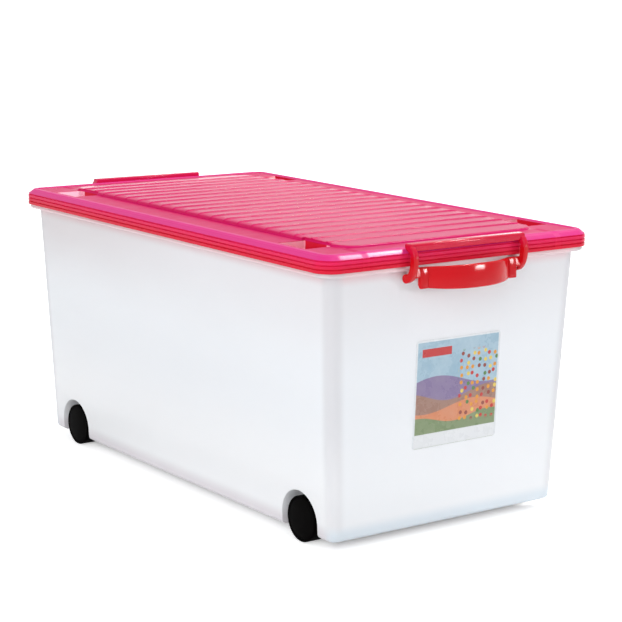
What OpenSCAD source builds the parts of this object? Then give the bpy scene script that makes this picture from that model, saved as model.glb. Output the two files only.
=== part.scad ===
// Wheeled storage box with a lift-off lid held by a clip handle at each end.
// Millimetres, +Z up. The origin is on the ground under the middle of the box.
// +X points to the end that carries the label.

/* [Tub] */
// Outer length of the tub at its underside
tub_length = 559; // [460:1:680]
// Outer width of the tub at its underside
tub_width = 284; // [250:1:360]
// Height of the tub from its underside to the top of its rim
tub_height = 279; // [200:1:340]
// Thickness of the tub walls
tub_wall = 2.2; // [1.6:0.1:3]
// Thickness of the tub floor
tub_floor = 2.5; // [1.8:0.1:4]
// Draft angle of the two end walls, in degrees
end_draft = 2.43; // [1:0.01:3.5]
// Draft angle of the two long walls, in degrees
side_draft = 2.92; // [1:0.01:3.5]
// Radius of the upright corners at the underside
tub_corner = 9; // [7.5:0.5:20]
// Radius of the rounded edge around the underside
bottom_round = 5; // [3.5:0.5:7]
// How far the stepped rim stands out from the end walls
rim_out_end = 6.4; // [5.5:0.1:9]
// How far the stepped rim stands out from the long walls
rim_out_side = 10.6; // [8:0.1:14]
// How much the upright corners widen from the underside to the rim
corner_growth = 3; // [0:0.5:6]
// Height of the stepped rim
rim_height = 16.5; // [15:0.5:22]
// Radius of the rim's upright corners
rim_corner = 17; // [17:0.5:26]

/* [Wheels] */
// Outer diameter of a wheel
wheel_dia = 46.5; // [40:0.5:60]
// Width of a wheel's tread
wheel_width = 18; // [16:0.5:24]
// How far the wheel centres lie in from the tub's ends, at its underside
wheel_setback = 53.5; // [46:0.5:80]
// Height of the wheel centres above the tub's underside
axle_height = 12.25; // [10:0.25:18]
// How far a wheel's rim lies inside the wall at axle height
wheel_inset = 1.6; // [0.8:0.1:4]
// Gap between a wheel and the arch over it
arch_gap = 6.6; // [2.5:0.1:8]
// Diameter of an axle pin
axle_dia = 6; // [4:0.5:8]
// Diameter of the axle pin's head
axle_head_dia = 10; // [9:0.5:12]
// Thickness of the axle pin's head
axle_head = 1.6; // [1:0.1:2]
// Diameter of the boss that holds an axle pin
boss_dia = 14; // [12:0.5:18]
// Length of axle pin held in its boss
axle_hold = 16; // [10:0.5:22]
// Radial running gap between an axle pin and a wheel
axle_gap = 0.05; // [0.03:0.01:0.09]
// Thickness of a wheel's outer ring
wheel_ring = 3; // [2.6:0.1:4]
// Thickness of the web between a wheel's ring and hub
wheel_web = 2.5; // [1.5:0.1:3.5]
// Number of stiffening spokes behind the web
spoke_count = 6; // [4:1:8]
// Thickness of a wheel cap at its edge
cap_thick = 2.1; // [1.6:0.1:2.6]
// Height of the dome on a wheel cap
cap_dome = 1.3; // [0.5:0.1:1.5]

/* [Lid] */
// Thickness of the lid's skirt
skirt_wall = 2.2; // [1.6:0.1:3]
// Side gap between the rim and the lid's skirt
lid_gap = 0.8; // [0.5:0.1:1.5]
// Height of the lid's upright skirt
skirt_height = 12.4; // [10:0.1:14]
// How far the lid's bevelled edge slopes inwards
bevel_run = 6.7; // [5:0.1:8]
// How far the lid's bevelled edge rises
bevel_rise = 5; // [4:0.1:6]
// Number of bands moulded round the skirt
band_count = 3; // [2:1:4]
// Height of the groove above each band
band_groove = 1.3; // [0.8:0.1:1.6]
// Depth of the grooves between the bands
groove_depth = 0.9; // [0.4:0.1:1.2]
// Thickness of the lid's top plate
lid_plate = 2; // [1.5:0.1:2.4]
// Width of the raised border round the lid
border_width = 12; // [10:0.5:16]
// Depth of the channel inside the border
channel_depth = 0.8; // [0.4:0.1:1.2]
// Width of the channel between the border and the ribbed panel
channel_width = 32; // [30:0.5:40]
// Width of the same channel at the two ends
channel_end = 22; // [14:0.5:30]
// Corner radius of the ribbed panel
panel_corner = 24; // [12:1:40]
// Height of the panel's ends above the channel
panel_step = 1.8; // [1.2:0.1:3]
// Rise of the panel's crown from its ends to its middle
panel_crown = 2.7; // [1:0.1:5]
// Distance from rib to rib
rib_pitch = 25; // [16:0.5:36]
// Width of a rib where it meets the panel
rib_width = 4; // [2:0.2:6]
// Height of a rib
rib_height = 1; // [0.5:0.1:1.6]
// Distance from a rib's end to the panel's edge
rib_end = 2; // [1:0.5:12]
// Length of a stacking pocket at its mouth
pocket_length = 46; // [42:1:56]
// Width of a stacking pocket
pocket_width = 32; // [26:0.5:34]
// Depth of a stacking pocket below the channel
pocket_depth = 10; // [6:0.5:11]
// How far a pocket's centre lies from the wheel's, towards the middle of the box
pocket_shift = 2; // [0:0.5:8]
// Width of the ledge between a pocket and the border
pocket_ledge = 4; // [1:0.5:8]
// Height of the locating ring that stands inside the rim
ring_depth = 6; // [3:0.5:8]

/* [Clip handles] */
// Overall width of a clip handle
clip_width = 144; // [130:1:170]
// Width of a clip's arm
arm_width = 6; // [5:0.5:8]
// Thickness of a clip's arm round the rim
arm_thick = 7.6; // [6:0.2:9]
// Gap between a clip's arm and the lid's skirt
arm_gap = 3; // [1.5:0.1:4]
// Height of an arm's widest point, as a share of its height above the hinge
arm_belly = 0.63; // [0.4:0.01:0.75]
// Radius of the eye at the foot of an arm
eye_radius = 4.5; // [4:0.1:5]
// Diameter of the hinge stub on an arm
stub_dia = 5; // [4:0.1:5.6]
// Length of the hinge stub
stub_length = 5.6; // [4:0.1:8]
// Radial running gap of the hinge stub in its lug
stub_gap = 0.05; // [0.03:0.01:0.09]
// Drop of the hinge axis below the rim's shelf
hinge_drop = 7.5; // [6:0.1:10]
// Gap between the eye and the tub's end wall
eye_gap = 1.2; // [0.8:0.1:2]
// Depth of the bar that hooks over the lid's bevel
bar_reach = 5.5; // [4:0.1:6.5]
// Height of the bar's top above the lid
bar_proud = 4.2; // [3:0.1:6]
// Gap between the bar and the lid's bevel
bar_gap = 0.5; // [0.4:0.1:1]
// Height of the bar's front face
bar_face = 7; // [5:0.1:8]
// Height of the grip
grip_height = 20.5; // [16:0.5:28]
// Height of the grip's top above the rim's shelf
grip_rise = 3.5; // [1:0.1:4.5]
// Thickness of the grip
grip_thick = 4; // [3:0.1:6]
// How far the grip bulges outwards in its middle
grip_bulge = 17; // [8:0.5:20]
// How full the grip's bow is, where 2 is a parabola
grip_fullness = 2.5; // [2:0.1:4]
// How far the grip droops in its middle
grip_droop = 1.4; // [0:0.1:4]
// Width of the block at each end of the grip
block_width = 9.5; // [6:0.5:14]
// Depth of the block at each end of the grip
block_depth = 5; // [4.5:0.5:8]
// Gap between such a block and the arm beside it
block_gap = 5.5; // [3:0.5:10]
// Height of the bridge that joins a block to its arm
bridge_height = 10; // [6:0.5:12]
// Thickness of the bridge
bridge_thick = 4; // [2.5:0.5:4.5]

/* [Label] */
// Width of the label
label_width = 107; // [60:1:140]
// Height of the label
label_height = 109; // [60:1:140]
// Thickness of the label
label_thick = 0.3; // [0.2:0.05:0.6]
// Sideways place of the label's middle
label_side = 4.5; // [-20:0.5:20]
// Height of the label's lower edge above the tub's underside
label_low = 81; // [40:1:110]

/* [Hidden] */

round_fn = 96;
hull_fn = 32;
eps = 0.01;
over = 1;

// Levels of the tub
z_axle = wheel_dia / 2;
z_floor = z_axle - axle_height;
z_rim_top = z_floor + tub_height;
z_shelf = z_rim_top - rim_height;

// Half length and half width of the tapered tub at height z
function half_len(z) = tub_length / 2 + (z - z_floor) * tan(end_draft);
function half_wid(z) = tub_width / 2 + (z - z_floor) * tan(side_draft);

rim_len = 2 * (half_len(z_shelf) + rim_out_end);
rim_wid = 2 * (half_wid(z_shelf) + rim_out_side);

// Wheels, measured from the middle of the box
wheel_base = tub_length - 2 * wheel_setback;
wheel_r = wheel_dia / 2;
arch_r = wheel_r + arch_gap;
arch_cut = 30;
y_face = half_wid(z_axle) - wheel_inset;
y_wheel_in = y_face - wheel_width;
hub_gap = 0.5;
well_clear = 4;
y_well = y_wheel_in - well_clear;
y_boss_out = y_wheel_in - hub_gap;
y_bore_end = y_boss_out - axle_hold;
boss_end_wall = 2;
pin_end_gap = 0.2;
cap_fit = 0.05;
spigot_fit = 0.1;
spigot_wall = 2;
spigot_length = 4;
cap_sink = 0.3;
tread_edge = 1;
cap_seat = cap_thick + cap_sink + cap_fit;
cap_ledge = 1;
ring_inner_r = wheel_r - wheel_ring - cap_ledge;
cap_r = wheel_r - wheel_ring;
hub_r = boss_dia / 2;
head_gap = 0.3;
hub_out = cap_seat + head_gap + axle_head + head_gap;
web_recess = 3.5;
web_out = hub_out + web_recess;
web_in = web_out + wheel_web;
spoke_thick = 2;

// Levels and sizes of the lid
lid_len = rim_len + 2 * (lid_gap + skirt_wall);
lid_wid = rim_wid + 2 * (lid_gap + skirt_wall);
lid_corner = rim_corner + lid_gap + skirt_wall;
seat_gap = 0.3;
bevel_len = sqrt(bevel_run * bevel_run + bevel_rise * bevel_rise);
bevel_slope = bevel_rise / bevel_run;
// The rim's outer top corner meets the inner slope of the bevel with the seat gap
inner_drop = skirt_wall * bevel_len / bevel_run;
z_bevel = z_rim_top + seat_gap - (lid_gap + skirt_wall) * bevel_slope + inner_drop;
z_border = z_bevel + bevel_rise;
z_skirt = z_bevel - skirt_height;
z_channel = z_border - channel_depth;
z_cavity = z_channel - lid_plate;
cavity_len = lid_len - 2 * skirt_wall;
cavity_wid = lid_wid - 2 * skirt_wall;
cavity_corner = lid_corner - skirt_wall;
z_inner_slope = z_bevel + skirt_wall * bevel_slope - inner_drop;
inner_slope_rise = z_cavity - z_inner_slope;
inner_slope_run = inner_slope_rise / bevel_slope;
band_pitch = skirt_height / band_count;
core_lap = 0.4 * groove_depth;
ring_wall = 1.8;
ring_gap = 0.8;
channel_len = lid_len - 2 * border_width;
channel_wid = lid_wid - 2 * border_width;
channel_corner = lid_corner - border_width;
panel_len = channel_len - 2 * channel_end;
panel_wid = channel_wid - 2 * channel_width;
crown_steps = 24;
function crown(x) = panel_crown * (1 - pow(min(1, abs(x) / (panel_len / 2)), 4));
rib_radius = (rib_width * rib_width / 4 + rib_height * rib_height) / (2 * rib_height);
rib_room = panel_len / 2 - panel_corner / 2;
rib_pairs = floor(rib_room / rib_pitch + 0.5);
pocket_base = wheel_base - 2 * pocket_shift;
pocket_outer_y = channel_wid / 2 - pocket_ledge;
pocket_floor_z = z_channel - pocket_depth;

// Clip handles, worked out at the +X end
x_skirt = lid_len / 2;
z_hinge = z_shelf - hinge_drop;
x_hinge = half_len(z_hinge) + eye_gap + eye_radius;
stub_r = stub_dia / 2;
lug_gap = 0.5;
y_arm_in = clip_width / 2 - arm_width;
y_lug_out = y_arm_in - lug_gap;
lug_width = stub_length - lug_gap;
z_bar_top = z_border + bar_proud;
arc_shift = 1;
arc_cx = x_hinge + arc_shift;
arc_a = x_skirt + arm_gap + arm_thick / 2 - arc_cx;
arc_top = z_bar_top - arm_thick / 2;
arc_low = arm_belly * (arc_top - z_hinge);
arc_high = arc_top - z_hinge - arc_low;
arc_cz = z_hinge + arc_low;
arc_steps = 20;
x_bar_back = x_skirt - bar_reach;
bar_overhang = 4.8;
x_bar_front = x_skirt + bar_overhang;
z_bar_low = z_bar_top - bar_face;
bar_round = 1.6;
bar_back_round = 1;
// Height of the bar's underside at x, parallel to the bevel
function bar_under(x) = z_bevel + (x_skirt - x) * bevel_slope + bar_gap * bevel_len / bevel_run;
block_clear = 0.5;
x_block = x_hinge + eye_radius + block_clear;
z_grip_top = z_shelf + grip_rise;
z_grip_low = z_grip_top - grip_height;
block_relief = 3;
y_block_out = y_arm_in - block_gap;
y_block_in = y_block_out - block_width;
x_grip = x_block + block_depth;
bridge_set = 0.5;
x_bridge = x_grip - bridge_set - bridge_thick;
grip_steps = 20;
glue = 0.02;

// ---- shared shapes ----

// Rectangle with round corners, centred
module rounded_rect(l, w, r, fn = round_fn) {
    square([l - 2 * r, w], center = true);
    square([l, w - 2 * r], center = true);
    for (sx = [-1, 1], sy = [-1, 1])
        translate([sx * (l / 2 - r), sy * (w / 2 - r)]) circle(r = r, $fn = fn);
}

// Upright slab of that outline from z0 to z1
module slab(l, w, r, z0, z1) {
    translate([0, 0, z0]) linear_extrude(z1 - z0) rounded_rect(l, w, r);
}

// Bar along Y with an outline drawn in X and Z
module along_y(y0, y1) {
    translate([0, y1, 0]) rotate([90, 0, 0]) linear_extrude(y1 - y0) children();
}

// Slab whose four sides lean inwards by run over rise
module bevelled_slab(l, w, r, z0, run, rise) {
    translate([0, 0, z0]) {
        rotate([90, 0, 0]) translate([0, 0, -(w / 2 - r)]) linear_extrude(w - 2 * r)
            polygon([[-l / 2, 0], [l / 2, 0], [l / 2 - run, rise], [-l / 2 + run, rise]]);
        rotate([90, 0, 90]) translate([0, 0, -(l / 2 - r)]) linear_extrude(l - 2 * r)
            polygon([[-w / 2, 0], [w / 2, 0], [w / 2 - run, rise], [-w / 2 + run, rise]]);
        for (sx = [-1, 1], sy = [-1, 1])
            translate([sx * (l / 2 - r), sy * (w / 2 - r), 0])
                cylinder(h = rise, r1 = r, r2 = r - run, $fn = round_fn);
    }
}

// Tapered tub form with a rounded lower edge, drawn in by inset on every side
module tub_form(inset, z_low, z_high, edge) {
    hull() {
        for (a = [0, 22.5, 45, 67.5, 90]) {
            z = z_low + edge * (1 - cos(a));
            d = inset + edge * (1 - sin(a));
            translate([0, 0, z]) linear_extrude(eps)
                rounded_rect(2 * (half_len(z) - d), 2 * (half_wid(z) - d), tub_corner - d, hull_fn);
        }
        translate([0, 0, z_high - eps]) linear_extrude(eps)
            rounded_rect(2 * (half_len(z_high) - inset), 2 * (half_wid(z_high) - inset),
                         tub_corner + corner_growth - inset, hull_fn);
    }
}

// Puts children, drawn with +Z pointing outwards, at a wheel place
module at_wheel(front, left) {
    translate([front * wheel_base / 2, left * y_face, z_axle]) rotate([-90 * left, 0, 0]) children();
}

module each_wheel() {
    for (front = [-1, 1], left = [-1, 1]) at_wheel(front, left) children();
}

// ---- tub ----

// Arch-shaped space of radius r that reaches depth inwards from the wheel's outer face
module arch_space(r, depth) {
    translate([0, 0, -depth]) cylinder(h = depth + arch_cut, r = r, $fn = round_fn);
}

// Straight sides of the same space, from the axle down through the underside
module arch_foot(r, depth) {
    for (front = [-1, 1], left = [-1, 1]) {
        y_low = left > 0 ? y_face - depth : -y_face - arch_cut;
        translate([front * wheel_base / 2 - r, y_low, z_floor - over])
            cube([2 * r, depth + arch_cut, axle_height + over]);
    }
}

// Spaces of the four wheels, grown by the wall of the arches for their liners
module wells(grow) {
    each_wheel() arch_space(arch_r + grow, y_face - y_well + grow);
    arch_foot(arch_r + grow, y_face - y_well + grow);
}

// Bosses behind the arches, between two distances from the middle of the box
module axle_bosses(y_from, y_to) {
    each_wheel() translate([0, 0, y_from - y_face]) cylinder(h = y_to - y_from, r = hub_r, $fn = round_fn);
}

// Lugs under the rim's shelf, two at each end, that carry the clips' stubs
module hinge_lugs() {
    for (end = [-1, 1], side = [-1, 1]) scale_end(end) {
        y0 = side > 0 ? y_lug_out - lug_width : -y_lug_out;
        along_y(y0, y0 + lug_width) {
            translate([x_hinge, z_hinge]) circle(r = eye_radius, $fn = round_fn);
            translate([half_len(z_hinge) - tub_wall, z_hinge - eye_radius])
                square([x_hinge - half_len(z_hinge) + tub_wall, 2 * eye_radius]);
            translate([half_len(z_hinge) - tub_wall, z_hinge])
                square([x_hinge - half_len(z_hinge) + tub_wall + over, z_shelf + over - z_hinge]);
        }
    }
}

// Turns what is drawn at the +X end round to the chosen end
module scale_end(end) {
    rotate([0, 0, end > 0 ? 0 : 180]) children();
}

// Bores of the clips' stubs, right through each pair of lugs
module hinge_bores() {
    for (end = [-1, 1]) scale_end(end)
        translate([x_hinge, 0, z_hinge]) rotate([90, 0, 0])
            cylinder(h = 2 * y_lug_out + 2 * over, r = stub_r + stub_gap, center = true, $fn = round_fn);
}

module tub() {
    color("#EEEEF3") difference() {
        union() {
            difference() {
                union() {
                    tub_form(0, z_floor, z_shelf + tub_wall / 2, bottom_round);
                    slab(rim_len, rim_wid, rim_corner, z_shelf, z_rim_top);
                }
                difference() {
                    tub_form(tub_wall, z_floor + tub_floor, z_shelf + tub_wall + over,
                             bottom_round - tub_wall);
                    wells(tub_wall);
                    axle_bosses(y_bore_end - boss_end_wall, y_face);
                }
                slab(rim_len - 2 * tub_wall, rim_wid - 2 * tub_wall, rim_corner - tub_wall,
                     z_shelf + tub_wall, z_rim_top + over);
                wells(0);
            }
            axle_bosses(y_well - eps, y_boss_out);
            hinge_lugs();
        }
        each_wheel() translate([0, 0, y_bore_end - y_face])
            cylinder(h = axle_hold + over, r = axle_dia / 2, $fn = round_fn);
        hinge_bores();
    }
}

// ---- lid ----

// Upright skirt, moulded in bands with a groove above each
module skirt_bands() {
    slab(lid_len - 2 * groove_depth, lid_wid - 2 * groove_depth, lid_corner - groove_depth,
         z_skirt, z_bevel + core_lap);
    for (i = [0 : band_count - 1]) {
        z_band = z_skirt + i * band_pitch;
        slab(lid_len, lid_wid, lid_corner, z_band, z_band + band_pitch - band_groove);
    }
}

// Outline of the crowned panel in X and Z, from z_base up to drop below its top
module crown_outline(z_base, drop, trim) {
    half = panel_len / 2 - trim;
    top = [for (i = [0 : 2 * crown_steps])
        let (x = half * (1 - i / crown_steps)) [x, z_channel + panel_step + crown(x) - drop]];
    polygon(concat([[-half, z_base], [half, z_base]], top));
}

// Crowned panel, lowered by drop and drawn in by trim
module panel(z_base, drop, trim) {
    intersection() {
        along_y(-panel_wid / 2 + trim, panel_wid / 2 - trim) crown_outline(z_base, drop, trim);
        slab(panel_len - 2 * trim, panel_wid - 2 * trim, panel_corner - trim,
             z_base - over, z_bar_top + over);
    }
}

module ribs() {
    for (side = [-1, 1], i = [0 : rib_pairs - 1]) {
        x = side * (i + 0.5) * rib_pitch;
        translate([x, 0, z_channel + panel_step + crown(x) + rib_height - rib_radius]) rotate([90, 0, 0])
            cylinder(h = panel_wid - 2 * rib_end, r = rib_radius, center = true, $fn = round_fn);
    }
}

// Pocket outline: upright towards the middle of the lid, sloped towards its end
module pocket_outline(grow, top) {
    x0 = pocket_base / 2 - pocket_length / 2 - grow;
    x1 = pocket_base / 2 + pocket_length / 2 + grow;
    low = pocket_floor_z - grow;
    polygon([[x0, low], [x1 - pocket_depth, low], [x1, low + pocket_depth], [x1, top], [x0, top]]);
}

// The four pockets, grown by the plate's thickness for their liners
module pockets(grow, top) {
    for (sx = [0, 1], sy = [0, 1])
        mirror([sx, 0, 0]) mirror([0, sy, 0])
            along_y(pocket_outer_y - pocket_width - grow, pocket_outer_y + grow) pocket_outline(grow, top);
}

// Liners of the pockets, carried up to the panel where they run under its edge
module pocket_liners() {
    pockets(lid_plate, z_channel - lid_plate / 2);
    intersection() {
        panel(z_cavity, 0, 0);
        pockets(lid_plate, z_bar_top);
    }
}

// Ring under the lid that stands inside the tub's rim
module locating_ring() {
    l = rim_len - 2 * tub_wall - 2 * ring_gap;
    w = rim_wid - 2 * tub_wall - 2 * ring_gap;
    r = rim_corner - tub_wall - ring_gap;
    difference() {
        slab(l, w, r, z_cavity - ring_depth, z_cavity + lid_plate / 2);
        slab(l - 2 * ring_wall, w - 2 * ring_wall, r - ring_wall,
             z_cavity - ring_depth - over, z_cavity + lid_plate);
    }
}

// Skirt, bevel and border round the plate, with the channel above it and the cavity below
module lid_edge() {
    difference() {
        union() {
            skirt_bands();
            bevelled_slab(lid_len, lid_wid, lid_corner, z_bevel, bevel_run, bevel_rise);
        }
        slab(channel_len, channel_wid, channel_corner, z_channel, z_border + over);
        slab(cavity_len, cavity_wid, cavity_corner, z_skirt - over, z_inner_slope);
        bevelled_slab(cavity_len, cavity_wid, cavity_corner, z_inner_slope - eps,
                      inner_slope_run, inner_slope_rise + eps);
    }
}

module lid() {
    color("#EE6A9A") difference() {
        union() {
            difference() {
                union() {
                    lid_edge();
                    panel(z_cavity, 0, 0);
                    ribs();
                }
                panel(z_cavity - over, lid_plate, lid_plate);
            }
            pocket_liners();
            locating_ring();
        }
        pockets(0, z_bar_top);
    }
}

// ---- clip handles ----

// Arm: a band of even thickness along two part ellipses that meet at its widest point
module arm_outline() {
    a0 = -96;
    a1 = 84;
    function at(a, off) =
        let (b = a > 0 ? arc_high : arc_low, nx = cos(a) / arc_a, nz = sin(a) / b,
             n = sqrt(nx * nx + nz * nz))
        [arc_cx + arc_a * cos(a) + off * nx / n, arc_cz + b * sin(a) + off * nz / n];
    function angle(i) = a0 + (a1 - a0) * i / arc_steps;
    outer = [for (i = [0 : arc_steps]) at(angle(i), arm_thick / 2)];
    inner = [for (i = [arc_steps : -1 : 0]) at(angle(i), -arm_thick / 2)];
    difference() {
        polygon(concat(outer, inner));
        lid_edge_outline();
    }
    translate([x_hinge, z_hinge]) circle(r = eye_radius, $fn = round_fn);
}

// Space that the lid's bevelled edge takes up, with the bar's gap round it
module lid_edge_outline() {
    x_in = x_bar_back - arm_thick;
    x_out = x_skirt + bar_gap;
    polygon([
        [x_in, bar_under(x_in)], [x_in, z_bevel - arm_thick],
        [x_out, z_bevel - arm_thick], [x_out, bar_under(x_out)]
    ]);
}

// Hook bar: its underside runs parallel to the lid's bevel
module bar_outline() {
    x_low = x_skirt - (z_bar_low - bar_under(x_skirt)) / bevel_slope;
    polygon([
        [x_bar_back, bar_under(x_bar_back)], [x_low, z_bar_low], [x_bar_front, z_bar_low],
        [x_bar_front, z_bar_top - bar_round], [x_bar_front - bar_round, z_bar_top],
        [x_bar_back + bar_back_round, z_bar_top], [x_bar_back, z_bar_top - bar_back_round]
    ]);
}

// Block at an end of the grip, relieved below to clear the wall as the clip swings
module block_outline() {
    polygon([
        [x_block, z_grip_low + block_relief], [x_block + block_relief, z_grip_low],
        [x_grip, z_grip_low], [x_grip, z_grip_top], [x_block, z_grip_top]
    ]);
}

// Bridge that carries a block from the arm beside it
module bridge_outline() {
    translate([x_bridge, z_grip_top - bridge_height]) square([bridge_thick, bridge_height]);
}

// Grip: a bowed plate seen from above, cut to a drooping outline seen from the end
module grip() {
    half = y_block_in + over;
    function bow(y) = 1 - pow(abs(y) / half, grip_fullness);
    steps = [for (i = [0 : grip_steps]) half * (2 * i / grip_steps - 1)];
    outer = [for (y = steps) [x_grip + grip_bulge * bow(y), y]];
    inner = [for (i = [grip_steps : -1 : 0])
        [x_grip - grip_thick + grip_bulge * bow(steps[i]), steps[i]]];
    upper = [for (y = steps) [y, z_grip_top - grip_droop * bow(y)]];
    lower = [for (i = [grip_steps : -1 : 0]) [steps[i], z_grip_low - grip_droop * bow(steps[i])]];
    intersection() {
        translate([0, 0, z_grip_low - 2 * grip_droop]) linear_extrude(grip_height + 2 * grip_droop)
            polygon(concat(outer, inner));
        translate([x_block - over, 0, 0]) rotate([90, 0, 90])
            linear_extrude(block_depth + grip_bulge + 2 * over) polygon(concat(upper, lower));
    }
}

module clip_handle() {
    half = clip_width / 2;
    color("#D72832") {
        for (side = [0, 1]) mirror([0, side, 0]) {
            along_y(y_arm_in, half) arm_outline();
            along_y(y_block_in, y_block_out) block_outline();
            along_y(y_block_out - over, y_arm_in + over) bridge_outline();
            translate([x_hinge, y_arm_in + over, z_hinge]) rotate([90, 0, 0])
                cylinder(h = stub_length + over, r = stub_r, $fn = round_fn);
        }
        along_y(-half, half) bar_outline();
        grip();
    }
}

module clip_handle_front() {
    clip_handle();
}

module clip_handle_rear() {
    rotate([0, 0, 180]) clip_handle();
}

// ---- wheels ----

// Half section of a wheel: radius, and depth counted inwards from its outer face
module wheel_outline() {
    bore_r = axle_dia / 2 + axle_gap;
    polygon([
        [bore_r, -wheel_width], [hub_r, -wheel_width], [hub_r, -web_in], [ring_inner_r, -web_in],
        [ring_inner_r, -wheel_width + tread_edge], [ring_inner_r + tread_edge, -wheel_width],
        [wheel_r - tread_edge, -wheel_width], [wheel_r, -wheel_width + tread_edge],
        [wheel_r, -tread_edge], [wheel_r - tread_edge, 0],
        [cap_r + cap_fit, 0], [cap_r + cap_fit, -cap_seat], [ring_inner_r, -cap_seat],
        [ring_inner_r, -web_out], [hub_r, -web_out], [hub_r, -hub_out], [bore_r, -hub_out]
    ]);
}

// Wheel with its hub, web and spokes; the cap closes its outer face
module wheel() {
    color("#1A1A1C") {
        rotate_extrude($fn = round_fn) wheel_outline();
        for (i = [0 : spoke_count - 1]) rotate(i * 360 / spoke_count)
            translate([hub_r - over / 2, -spoke_thick / 2, -wheel_width + over])
                cube([ring_inner_r - hub_r + over, spoke_thick, wheel_width - web_in - over / 2]);
    }
}

// Domed cap with a spigot that plugs into the wheel's ring
module wheel_cap() {
    dome_steps = 12;
    spigot_r = ring_inner_r - spigot_fit;
    dome = [for (i = [0 : dome_steps])
        let (r = cap_r * (1 - i / dome_steps)) [r, -cap_sink + cap_dome * (1 - pow(r / cap_r, 2))]];
    color("#141416") rotate_extrude($fn = round_fn)
        polygon(concat(
            [[0, -cap_sink - cap_thick], [spigot_r - spigot_wall, -cap_sink - cap_thick],
             [spigot_r - spigot_wall, -cap_sink - cap_thick - spigot_length],
             [spigot_r, -cap_sink - cap_thick - spigot_length], [spigot_r, -cap_sink - cap_thick],
             [cap_r, -cap_sink - cap_thick]],
            dome));
}

// Headed pin, pressed into its boss through the wheel's hub
module axle_pin() {
    pin_out = hub_out - head_gap;
    pin_in = y_face - y_bore_end - pin_end_gap;
    color("#B8BCC2") {
        translate([0, 0, -pin_in]) cylinder(h = pin_in - pin_out, r = axle_dia / 2, $fn = round_fn);
        translate([0, 0, -pin_out]) cylinder(h = axle_head, r = axle_head_dia / 2, $fn = round_fn);
    }
}

// ---- label ----

// Back of the label at height z, a film of glue away from the end wall
function label_x(z) = half_len(z) + glue;

module label() {
    z0 = z_floor + label_low;
    z1 = z0 + label_height;
    color("#A9C6D4") along_y(label_side - label_width / 2, label_side + label_width / 2)
        polygon([
            [label_x(z0), z0], [label_x(z0) + label_thick, z0],
            [label_x(z1) + label_thick, z1], [label_x(z1), z1]
        ]);
}

tub();
lid();
clip_handle_front();
clip_handle_rear();
at_wheel(1, 1) wheel();  // wheel_front_left
at_wheel(1, -1) wheel();  // wheel_front_right
at_wheel(-1, 1) wheel();  // wheel_rear_left
at_wheel(-1, -1) wheel();  // wheel_rear_right
at_wheel(1, 1) wheel_cap();  // wheel_cap_front_left
at_wheel(1, -1) wheel_cap();  // wheel_cap_front_right
at_wheel(-1, 1) wheel_cap();  // wheel_cap_rear_left
at_wheel(-1, -1) wheel_cap();  // wheel_cap_rear_right
at_wheel(1, 1) axle_pin();  // axle_pin_front_left
at_wheel(1, -1) axle_pin();  // axle_pin_front_right
at_wheel(-1, 1) axle_pin();  // axle_pin_rear_left
at_wheel(-1, -1) axle_pin();  // axle_pin_rear_right
label();
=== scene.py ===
"""Looks of a wheeled storage box: milky tub, pink ribbed lid, red clip handles, black wheels.

Shapes are worked out in millimetres and scaled to metres when a piece is finished.
+X points to the end with the printed label, +Z up, and the ground is z = 0.
"""

import math

import bmesh
import bpy
import numpy as np
from mathutils import Matrix, Vector


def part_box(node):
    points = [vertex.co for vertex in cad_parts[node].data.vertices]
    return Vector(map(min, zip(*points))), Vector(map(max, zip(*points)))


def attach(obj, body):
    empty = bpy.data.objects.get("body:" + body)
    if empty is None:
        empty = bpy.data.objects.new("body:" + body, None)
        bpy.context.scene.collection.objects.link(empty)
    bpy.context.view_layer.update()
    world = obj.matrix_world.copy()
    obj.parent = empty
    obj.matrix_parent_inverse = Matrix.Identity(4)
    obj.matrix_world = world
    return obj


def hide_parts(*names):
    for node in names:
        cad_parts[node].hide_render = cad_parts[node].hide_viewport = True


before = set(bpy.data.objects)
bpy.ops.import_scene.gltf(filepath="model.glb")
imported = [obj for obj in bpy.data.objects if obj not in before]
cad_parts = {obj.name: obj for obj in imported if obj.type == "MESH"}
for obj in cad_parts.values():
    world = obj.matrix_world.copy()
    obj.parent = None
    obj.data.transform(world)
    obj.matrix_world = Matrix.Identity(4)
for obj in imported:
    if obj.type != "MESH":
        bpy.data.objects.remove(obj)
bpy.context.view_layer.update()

MM = 0.001
CORNER_STEPS = 14
ROUND_STEPS = 72
REPEAT = 0.005


def corners(node):
    """Lowest and highest corner of a CAD node, in millimetres."""
    low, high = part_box(node)
    return Vector(low) / MM, Vector(high) / MM


# ---------------------------------------------------------------- camera

IMAGE_SIDE = 622
FOCAL_PIXELS = 1898.9
SENSOR = 36.0
EYE = Vector((1.6847, -1.1808, 0.5748))
LOOK = Vector((-0.79709, 0.57372, -0.18840))
ROLL = math.radians(0.5)


def make_camera():
    """Camera at the viewing angle, with its focal length worked out from pixels."""
    data = bpy.data.cameras.new("camera")
    data.sensor_width = SENSOR
    data.lens = FOCAL_PIXELS / IMAGE_SIDE * SENSOR
    data.clip_end = 200
    camera = bpy.data.objects.new("camera", data)
    turn = LOOK.to_track_quat("-Z", "Y").to_matrix().to_4x4()
    camera.matrix_world = Matrix.Translation(EYE) @ turn @ Matrix.Rotation(ROLL, 4, "Z")
    bpy.context.scene.collection.objects.link(camera)
    bpy.context.scene.camera = camera


make_camera()

# ---------------------------------------------------------------- shapes from numpy


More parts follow.
